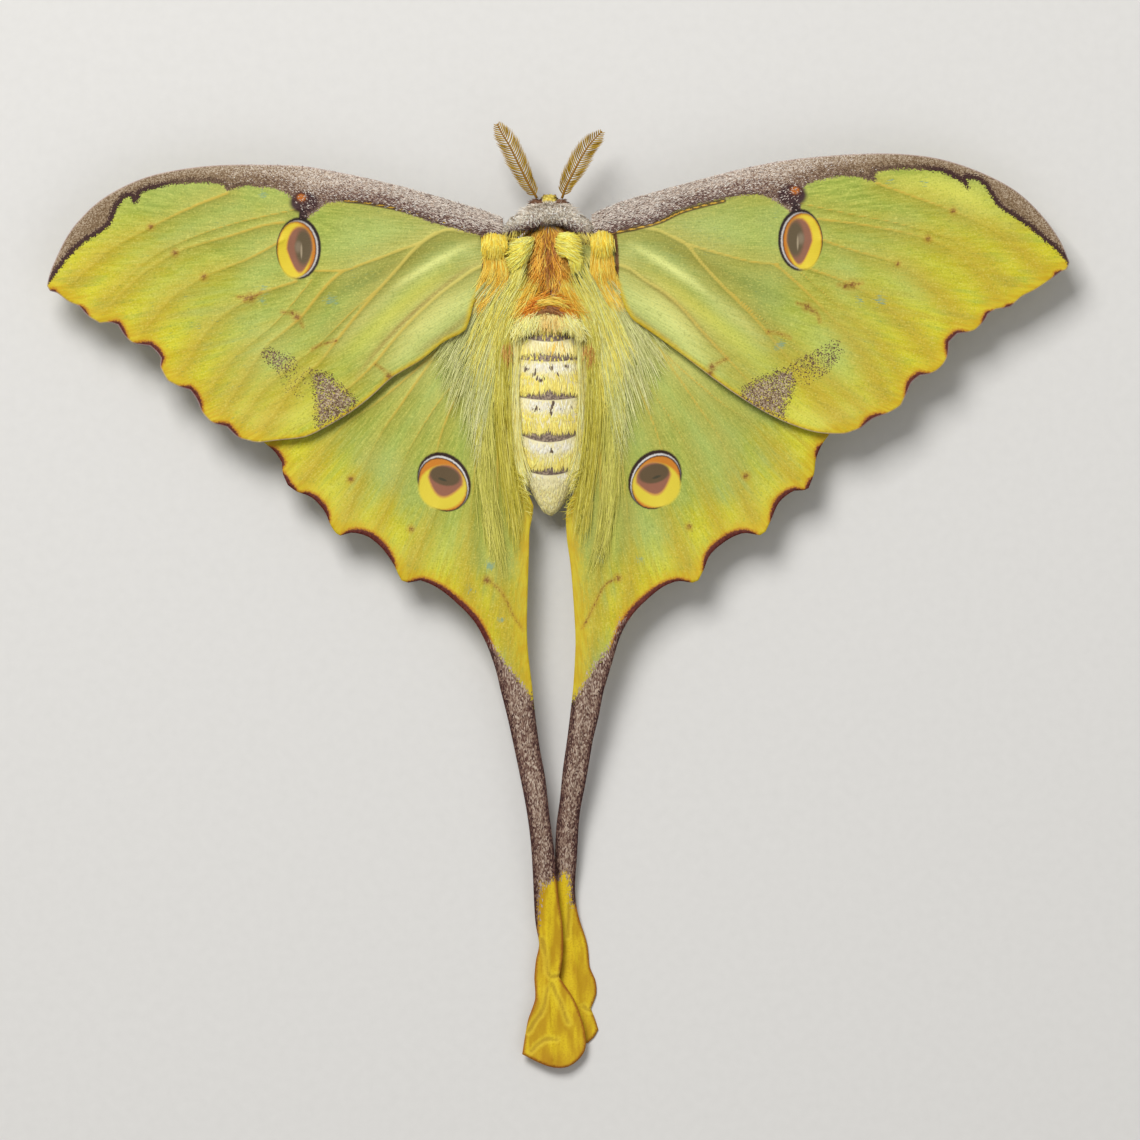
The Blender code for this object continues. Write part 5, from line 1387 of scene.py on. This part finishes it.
TUFTS_R = {
    "lemon": [
        (420, 0.62, 1.6, 14, GOLDEN, [
            [(591, 238, 6.2), (592, 246, 6.8), (595, 257, 6.4)],
            [(599, 234, 6.4), (599, 246, 7.2), (600, 260, 6.6)],
            [(606, 234, 6.4), (606, 246, 7.0), (606, 260, 6.5)],
            [(612, 237, 6.0), (612, 246, 6.4), (609, 257, 6.1)]]),
        (560, 0.55, 1.6, 16, LEMON, [
            [(562, 234, 6.8), (570, 235, 7.2), (579, 239, 6.8)],
            [(559, 239, 6.9), (570, 242, 7.5), (582, 248, 6.9)],
            [(558, 248, 6.8), (570, 251, 7.4), (583, 258, 6.8)],
            [(560, 255, 6.7), (569, 258, 7.2), (580, 268, 6.5)]]),
        (260, 0.6, 1.6, 10, LEMON, [
            [(567, 256, 6.7), (571, 263, 6.9), (573, 272, 6.4)],
            [(574, 252, 6.8), (580, 260, 6.9), (579, 272, 6.3)]]),
        (520, 0.42, 2.0, 16, AMBER, [
            [(593, 255, 6.4), (592, 270, 6.3), (598, 286, 5.8), (614, 312, 5.2)],
            [(599, 256, 6.6), (600, 272, 6.4), (605, 288, 5.8), (619, 314, 5.1)],
            [(606, 256, 6.5), (608, 271, 6.3), (613, 288, 5.7), (626, 314, 5.1)],
            [(612, 255, 6.1), (614, 268, 6.1), (617, 280, 5.8), (624, 300, 5.2)]]),
    ],
    "flow": [(count, reach, stray, clumps, shades,
              [[(FLOW_MIRROR - x, y, z) for x, y, z in guide] for guide in guides])
             for count, reach, stray, clumps, shades, guides in TUFTS_L["flow"]],
}
WAIST = [
    (380, 0.55, 2.6, 30, CREAM, [
        [(516, 322, 5.7), (513, 331, 5.8), (513, 343, 5.9)],
        [(523, 316, 6.3), (520, 326, 6.5), (519, 338, 6.6)],
        [(533, 312, 6.6), (530, 322, 6.8), (529, 335, 6.8)],
        [(543, 310, 6.7), (541, 320, 6.9), (541, 332, 6.9)]]),
    (200, 0.55, 2.6, 20, PEACH, [
        [(543, 310, 6.7), (541, 320, 6.9), (540, 332, 6.9)],
        [(551, 309, 6.7), (551, 319, 7.0), (552, 334, 7.0)],
        [(560, 310, 6.7), (562, 320, 6.9), (563, 332, 6.9)]]),
    (380, 0.55, 2.6, 30, CREAM, [
        [(555, 309, 6.7), (558, 320, 6.9), (560, 332, 6.9)],
        [(564, 311, 6.6), (568, 321, 6.8), (570, 335, 6.8)],
        [(573, 315, 6.3), (577, 325, 6.5), (579, 338, 6.5)],
        [(581, 322, 5.7), (583, 331, 5.8), (584, 343, 5.9)]]),
    (200, 0.42, 3.4, 20, RUST, [
        [(552, 299, 7.0), (540, 302, 7.0), (530, 310, 6.6), (523, 322, 6.2)],
        [(550, 306, 7.0), (539, 309, 6.9), (530, 315, 6.6), (526, 324, 6.3)],
        [(544, 292, 7.0), (533, 298, 6.8), (525, 308, 6.4), (519, 320, 5.9)]]),
    (200, 0.42, 3.4, 20, RUST, [
        [(548, 300, 7.1), (558, 302, 7.1), (568, 309, 6.7), (575, 321, 6.3)],
        [(546, 308, 6.9), (557, 310, 6.9), (566, 315, 6.6), (572, 323, 6.3)],
        [(556, 292, 7.0), (566, 297, 6.8), (574, 307, 6.3), (580, 318, 5.9)]]),
    (80, 0.45, 2.4, 12, AMBER, [
        [(540, 302, 7.2), (550, 299, 7.3), (562, 301, 7.2), (571, 309, 6.8)],
        [(537, 306, 7.0), (549, 303, 7.2), (561, 305, 7.1), (568, 312, 6.7)]]),
    (44, 0.4, 3.4, 22, SIENNA, [
        [(540, 312, 6.9), (549, 309, 7.1), (558, 311, 7.1), (566, 317, 6.8)],
        [(539, 314, 6.9), (549, 312, 7.1), (558, 314, 7.0), (564, 318, 6.8)]]),
    (200, 0.45, 3.6, 20, AMBER, [
        [(528, 286, 6.7), (522, 298, 6.3), (517, 310, 5.9), (513, 324, 5.5)],
        [(537, 289, 6.9), (531, 302, 6.7), (522, 313, 6.3), (515, 326, 5.7)]]),
    (200, 0.45, 3.6, 20, AMBER, [
        [(569, 284, 6.7), (575, 297, 6.3), (580, 310, 5.9), (584, 324, 5.5)],
        [(561, 289, 6.9), (567, 302, 6.7), (575, 313, 6.3), (582, 326, 5.7)]]),
]
BROWS = [
    (90, 0.7, 1.2, 20, UMBER, [
        [(541, 201, 4.3), (536, 200, 4.4), (532.5, 200.5, 4.1)],
        [(541, 204.5, 4.7), (535, 203.5, 4.7), (529, 204, 4.3)]]),
    (90, 0.7, 1.2, 20, UMBER, [
        [(557, 201, 4.3), (562, 200, 4.4), (565.5, 200.5, 4.1)],
        [(557, 204.5, 4.7), (563, 203.5, 4.7), (569, 204, 4.3)]]),
    (220, 0.7, 1.6, 24, GREY, [
        [(542, 205, 4.9), (536, 205, 5.0), (531, 206, 4.6)],
        [(541, 208, 5.2), (532, 207, 5.3), (525, 208, 4.8)],
        [(538, 212, 5.6), (529, 210, 5.7), (520, 212, 5.1)],
        [(534, 218, 6.2), (524, 214, 6.3), (515, 216, 5.6)]]),
    (220, 0.7, 1.6, 24, GREY, [
        [(556, 205, 4.9), (562, 205, 5.0), (568, 206, 4.6)],
        [(557, 208, 5.2), (566, 207, 5.3), (573, 208, 4.8)],
        [(560, 212, 5.6), (569, 210, 5.7), (578, 212, 5.1)],
        [(564, 218, 6.2), (574, 214, 6.3), (583, 216, 5.6)]]),
]


def plan_unwrap(points):
    """Place of points on an unwrap seen from above."""
    down, aside = places_of(points)
    return np.stack([0.5 + aside / 400.0, (down - 100.0) / 500.0], 1)


def spaced(line, count):
    """Evenly placed points of a smooth line through the points of a line."""
    line = flowing(line, 0.2 * MM)
    return sampled(line, np.linspace(0, len(line) - 1, count))


def swept(count, reach, stray, clumps, guides, steps=6):
    """Hairs between the guides of a tuft, each over a part of their length. They draw together into
    clumps towards their tips, and each strays a little."""
    guides = np.stack([spaced([(*plan(p[:2])[0], p[2] * MM) for p in guide], GUIDE_STEPS)
                       for guide in guides])
    last = len(guides) - 1
    t = np.linspace(0, 1, steps)[None]
    start_across = draw.random(count)
    centres = np.sort(draw.random(clumps))
    nearest = centres[np.argmin(np.abs(start_across[:, None] - centres[None]), 1)]
    drawn = (0.25 + 0.6 * draw.random((count, 1))) * t ** 1.3
    across = (start_across[:, None] * (1 - drawn) + nearest[:, None] * drawn) * last
    length = reach * (0.5 + 0.8 * draw.random(count))
    start = draw.random(count) * (1.15 - length) - 0.12
    at = np.clip(start[:, None] + length[:, None] * t, -0.12, 1.12) * (GUIDE_STEPS - 1)
    first = np.clip(at.astype(int), 0, GUIDE_STEPS - 2)
    low = np.clip(across.astype(int), 0, last - 1)
    down_line, aside_line = (at - first)[:, :, None], (across - low)[:, :, None]
    near = guides[low, first] * (1 - down_line) + guides[low, first + 1] * down_line
    far = guides[low + 1, first] * (1 - down_line) + guides[low + 1, first + 1] * down_line
    lines = near * (1 - aside_line) + far * aside_line
    off = draw.normal(0, 1, (count, 1, 3)) * (1, 1, 0.3) * UNIT
    bend = draw.normal(0, 1, (count, 1, 3)) * (1, 1, 0.2) * UNIT
    t = t[:, :, None]
    return lines + stray * (off * 0.5 + bend * t ** 2 * 1.2) + (0, 0, 0.14 * MM) * draw.random((count, 1, 1))


def tufted(name, tufts, denser, width, material, slot, steps=6):
    """One coat of a list of tufts, each with its own count of hairs times how much denser it is."""
    lines = [swept(int(count * denser), reach, stray, clumps, guides, steps)
             for count, reach, stray, clumps, _, guides in tufts]
    own = np.concatenate([tones(len(line), tuft[4], 12.0) for line, tuft in zip(lines, tufts)])
    lines = np.concatenate(lines)
    widths = width * (0.7 + 0.6 * draw.random(len(lines))) * MM
    ups = np.tile((0.0, 0.0, 1.0), (len(lines), 1))
    # The roots are darkened as painted shade deep in the tuft.
    coat(name, lines, ups, plan_unwrap(lines[:, 0]), widths, own * 0.9, own, material, slot)


for side, tufts in (("l", TUFTS_L), ("r", TUFTS_R)):
    tufted("wing_root_tufts_" + side, tufts["lemon"], 2.0, 0.09, fur_finish("lemon_fur_" + side), "wing", 5)
    tufted("inner_wing_hair_" + side, tufts["flow"], 1.25, 0.06, fur_finish("yellow_fur_" + side), "wing")
tufted("waist_fur", WAIST, 1.5, 0.085, fur_finish("waist_fur"), "thorax", 5)
tufted("brow_fur", BROWS, 2.0, 0.07, fur_finish("brow_fur"), "collar", 5)

# Fur on the fronts of the forewings: short grey-white and plum hair that lies outwards, longest at
# the roots and as short as scales further out.
FRONT_HAIRS = 8500
REAR_REACH = 1.5 * MM


def rear_share(points, strip):
    """How near a point lies to the rear edge of the speckled band, from 0 far off to 1 on it."""
    return 1.0 - away(points[:, :2], closed(strip))[0] / REAR_REACH


for side, marks, outward in (("l", FOREWING_L, -1.0), ("r", FOREWING_R, 1.0)):
    piece = bpy.data.objects["forewing_" + side + "_scaled"]
    unwrap(piece, lambda points: 0.5 + points[:, :2] / (PLAN_SPAN * UNIT) * (0.98, 1.0))
    strip = plan(marks["band"])

    def on_front(down, aside, up):
        """Whether a place lies in the speckled band, ever less likely further out."""
        spots = plan(np.stack([aside + PLAN_CENTRE[0], down], 1))
        return within(spots, strip) * np.clip((340.0 - np.abs(aside)) / 260.0, 0.0, 1.0) ** 1.2

    roots, normals, spots, down, aside = strewn(piece, FRONT_HAIRS, on_front)
    count = len(roots)
    near = np.clip(1.0 - (np.abs(aside) - 40.0) / 200.0, 0.0, 1.0)
    ways = np.stack([outward * np.ones(count), 0.25 + draw.normal(0, 0.4, count), np.zeros(count)], 1)
    own = tones(count, [(166, 144, 132), (210, 194, 178), (248, 238, 226), (226, 210, 194)], 12.0)
    dark = draw.random(count) < 0.08 + 0.75 * np.clip(rear_share(roots, strip), 0.0, 1.0)
    own = np.where(dark[:, None], tones(count, [(92, 62, 60), (148, 120, 110)], 8.0), own)
    lines = combed(roots, normals, ways, (0.20 + 0.28 * near) * MM, 0.10 + 0.30 * near,
                   draw.normal(0, 0.2, count))
    # The roots are darkened as painted shade deep in the coat.
    coat("front_fur_" + side, lines, normals, spots, (0.055 + 0.025 * draw.random(count)) * MM,
         own * 0.84, own, fur_finish("front_fur_" + side, 0.6), "wing")

# The eyes: faceted dark domes on the sides of the head, each in a brown rim of short hair.
EYE_FACETS = 5200.0
material, paint, shader = new_material("eye_facets", 0.42, 0.4)
where = paint.where()
facet = paint.node("ShaderNodeTexVoronoi", {}, {"Vector": where, "Scale": EYE_FACETS, "Randomness": 0.15})
cloud = paint.grain(where, 900.0)
cloud.rise(0.3, 0.7).mix(colour(34, 22, 20), colour(64, 40, 30)).feed(shader["Base Color"])
bump = paint.node("ShaderNodeBump", {"invert": True}, {
    "Strength": 0.6, "Distance": 0.03 * MM, "Height": facet})
bump.feed(shader["Normal"])
for side in ("l", "r"):
    low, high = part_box("eye_" + side)
    back = low.x if side == "r" else high.x
    bm = bmesh.new()
    bmesh.ops.create_uvsphere(bm, u_segments=48, v_segments=32, radius=1.0)
    reach = Matrix.Diagonal(((high.x - low.x) * 0.98, (high.y - low.y) / 2, (high.z - low.z) / 2, 1.0))
    centre = Matrix.Translation((back, (low.y + high.y) / 2, (low.z + high.z) / 2))
    bmesh.ops.transform(bm, verts=bm.verts[:], matrix=centre @ reach)
    settle(bm, bm.faces[:])
    show("eye_dome_" + side, bm, material, "eye", "eye_" + side)

# The antennae: a tapered shaft with a row of fine curved teeth on each side, so close that they
# read as a feather. Two teeth grow from each joint of the shaft on either side.
ANTENNAE = {
    "l": ([(537, 198, 4.7), (529, 185, 5.3), (522.4, 172, 5.6), (509.5, 146, 6.0), (503, 135.5, 6.1),
           (497, 124, 6.1)], (13.0, 14.5), (12.5, 16.0)),
    "r": ([(562, 198, 4.7), (566, 187, 5.3), (571, 177, 5.6), (584, 153, 6.0), (592, 142, 6.1),
           (602, 131.5, 6.1)], (15.5, 12.0), (13.5, 15.0)),
}
SHAFT_STEPS = 40
TEETH = 30
SHAFT_WIDTH = (0.28 * MM, 0.14 * MM)
TOOTH_WIDTH = 0.125 * MM

antenna_material = fur_finish("ochre_antenna", 0.5)
for side, (line, left_reach, right_reach) in ANTENNAE.items():
    heights = np.array([z for _, _, z in line]) * MM
    flat = flowing(plan([p[:2] for p in line]), 0.25 * MM)
    steps = np.append(0, np.cumsum(np.hypot(*np.diff(flat, axis=0).T)))
    knots = np.append(0, np.cumsum(np.hypot(*np.diff(plan([p[:2] for p in line]), axis=0).T)))
    shaft = np.column_stack([flat, np.interp(steps / steps[-1] * knots[-1], knots, heights)])
    shaft = sampled(shaft, np.linspace(0, len(shaft) - 1, SHAFT_STEPS))
    share = (np.arange(TEETH) + 0.5) / TEETH * 0.96 + 0.03
    at = share * (SHAFT_STEPS - 1)
    feet = sampled(shaft, at)
    heading = unit(sampled(np.gradient(shaft, axis=0), at))
    swell = np.sin(np.pi * (0.10 + 0.84 * share) ** 0.9) ** 0.6 * np.interp(share, (0.8, 1.0), (1.0, 0.6))
    lines = []
    for sign, reach in ((-1.0, left_reach), (1.0, right_reach)):
        out = np.column_stack([heading[:, 1], -heading[:, 0], np.zeros(TEETH)]) * sign
        far = np.interp(share, (0, 1), reach) * UNIT * swell
        for pair, lean in ((0, 0.62), (1, 0.80)):
            t = np.linspace(0, 1, 5)[None, :, None]
            length = far[:, None, None] * (1.0 + 0.05 * draw.normal(0, 1, (TEETH, 1, 1)))
            forward = heading[:, None] * (lean * t + 0.25 * t ** 2)
            droop = np.array((0, 0, 1.0)) * (-0.22 if pair else 0.10) * t ** 1.5
            bow = out[:, None] * (t - 0.18 * t ** 2) + forward * 0.85 + droop
            lines.append(feet[:, None] + length * bow)
    lines = np.concatenate(lines)
    widths = np.full(len(lines), TOOTH_WIDTH)
    ups = np.tile((0.0, 0.0, 1.0), (len(lines), 1))
    own = tones(len(lines), [(148, 114, 16), (190, 152, 40)], 8.0)
    # The teeth are darkened at their feet as painted shade.
    coat("antenna_teeth_" + side, lines, ups, plan_unwrap(lines[:, 0]), widths, own * 0.9, own,
         antenna_material, "antenna")
    own = tones(2, [(140, 98, 20), (150, 108, 28)], 2.0)[:1]
    stem = bmesh.new()
    bmesh.ops.create_cone(stem, cap_ends=True, segments=10, radius1=1.0, radius2=1.0, depth=1.0)
    upright = [e for e in stem.edges if abs(e.verts[0].co.z - e.verts[1].co.z) > 0.5]
    bmesh.ops.subdivide_edges(stem, edges=upright, cuts=SHAFT_STEPS - 2)
    sides = unit(np.cross(np.gradient(shaft, axis=0), (0, 0, 1.0)))
    overs = unit(np.cross(sides, np.gradient(shaft, axis=0)))
    for vert in stem.verts:
        ring = round((vert.co.z + 0.5) * (SHAFT_STEPS - 1))
        wide = SHAFT_WIDTH[0] + (SHAFT_WIDTH[1] - SHAFT_WIDTH[0]) * ring / (SHAFT_STEPS - 1)
        wide *= 0.5 * (1.0 + 0.12 * (ring % 2))
        vert.co = shaft[ring] + (sides[ring] * vert.co.x + overs[ring] * vert.co.y) * wide
    tone = stem.verts.layers.float_color.new("tone")
    for vert in stem.verts:
        vert[tone] = (*linear(own[0]), 1.0)
    bmesh.ops.recalc_face_normals(stem, faces=stem.faces[:])
    show("antenna_shaft_" + side, stem, antenna_material, "antenna", "antenna_" + side)

# The legs and palps: thin jointed limbs under short reddish-brown fur, with two dark claws on each
# foot. The legs are folded under the wings, as they are on a spread moth.
LEGS = {
    "fore": ((3.3, 2.2, 0.95), (5.6, 3.2, 2.7), (7.6, 1.8, 0.7), (10.4, 2.9, 0.24)),
    "mid": ((3.75, -0.6, 1.05), (6.6, -0.9, 2.9), (8.8, -2.2, 0.7), (12.0, -2.8, 0.24)),
    "hind": ((3.65, -3.3, 1.05), (6.0, -4.8, 2.6), (7.6, -7.6, 0.7), (8.8, -11.0, 0.24)),
}
LEG_HALF = ((0.0, 0.12, 0.30, 0.36, 0.55, 0.64, 0.68, 0.72, 0.76, 0.80, 0.84, 0.88, 0.92, 1.0),
            (0.30, 0.40, 0.30, 0.22, 0.24, 0.16, 0.11, 0.14, 0.10, 0.13, 0.10, 0.12, 0.10, 0.09))
LIMB_STEPS = 48
LEG_HAIRS = 420
LEG_HAIR_WIDTH = 0.07 * MM
CLAW_LENGTH = 0.30 * MM
CLAW_DROP = 0.08 * MM
LEG_SHADES = [(124, 66, 40), (170, 98, 56), (206, 150, 96)]


def limb(name, path, halves, node):
    """A limb's skin along a path, laid out on its unwrap, and its middle line."""
    line = spaced(np.array(path) * MM, LIMB_STEPS)
    along = unit(np.gradient(line, axis=0))
    side = unit(np.cross(along, (0.0, 0.0, 1.0)))
    over = np.cross(side, along)
    half = np.interp(np.linspace(0, 1, LIMB_STEPS), *halves) * MM
    half[0] = half[-1] = 0.0
    bm = lofted([(c, a * h, b * h) for c, a, b, h in zip(line, side, over, half)], 12)
    settle(bm, bm.faces[:])
    piece = show(name, bm, limb_material, "leg", node)
    unwrap(piece, plan_unwrap)
    return piece, line, along


def anywhere(down, aside, up):
    """Every place of a skin alike."""
    return np.ones(len(down))


limb_material, paint, shader = new_material("limb_skin", 0.5)
where = paint.where()
grime = paint.grain(where, 1800.0).rise(0.3, 0.7)
grime.mix(colour(96, 50, 32), colour(140, 80, 48)).feed(shader["Base Color"])
hairs, ups, spots, own = [], [], [], []
for side, outward in (("l", -1.0), ("r", 1.0)):
    for place, path in LEGS.items():
        path = np.array(path) * (outward, 1.0, 1.0)
        piece, line, along = limb("limb_" + place + "_" + side, path, LEG_HALF, "leg_" + place + "_" + side)
        roots, normals, laid = scatter(piece, LEG_HAIRS, anywhere)
        nearest = np.argmin(np.linalg.norm(roots[:, None] - line[None], axis=2), 1)
        share = nearest / (LIMB_STEPS - 1)
        hairs.append(combed(roots, normals, along[nearest] + draw.normal(0, 0.15, (LEG_HAIRS, 3)),
                            (0.5 - 0.32 * share + 0.1 * draw.random(LEG_HAIRS)) * MM, 0.3, 0.0))
        ups.append(normals)
        spots.append(laid)
        own.append(tones(LEG_HAIRS, LEG_SHADES))
        for turn in (-1.0, 1.0):
            t = np.linspace(0, 1, 4)[:, None]
            aside = np.cross(along[-1], (0, 0, 1.0)) * turn
            claw = line[-1] + CLAW_LENGTH * (along[-1] * t + aside * 0.5 * t) - (0, 0, CLAW_DROP) * t ** 2
            hairs.append(claw[None])
            ups.append(np.array([(0.0, 0.0, 1.0)]))
            spots.append(plan_unwrap(claw[:1]))
            own.append(np.array([(50.0, 30.0, 24.0)]))
hairs, ups, spots, own = (np.concatenate(v) for v in (hairs, ups, spots, own))
# The roots are darkened as painted shade deep in the coat.
coat("leg_fur", hairs, ups, spots, np.full(len(hairs), LEG_HAIR_WIDTH), own * 0.8, own,
     fur_finish("leg_fur"), "leg")

PALP_HAIRS = 260
PALP_HAIR_WIDTH = 0.06 * MM
PALP_SHADES = [(150, 84, 50), (196, 130, 80)]
for side, outward in (("l", -1.0), ("r", 1.0)):
    low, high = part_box("palp_" + side)
    middle = (low + high) / 2
    foot, tip = np.array(low) / MM, np.array(high) / MM
    path = [(middle.x / MM, foot[1] + 0.3, foot[2] + 0.34), (middle.x / MM, foot[1] + 0.8, foot[2] + 0.42),
            (middle.x / MM, tip[1] - 0.3, tip[2] - 0.6), (middle.x / MM, tip[1] - 0.14, tip[2] - 0.14)]
    piece, line, along = limb("palp_skin_" + side, path, ((0.0, 0.25, 0.6, 1.0), (0.2, 0.28, 0.2, 0.07)),
                              "palp_" + side)
    roots, normals, laid = scatter(piece, PALP_HAIRS, anywhere)
    nearest = np.argmin(np.linalg.norm(roots[:, None] - line[None], axis=2), 1)
    own = tones(PALP_HAIRS, PALP_SHADES)
    hairs = combed(roots, normals, along[nearest], 0.20 * MM, 0.3, 0.0)
    # The roots are darkened as painted shade deep in the coat.
    coat("palp_fur_" + side, hairs, normals, laid, np.full(PALP_HAIRS, PALP_HAIR_WIDTH), own * 0.8, own,
         fur_finish("palp_fur_" + side), "leg")
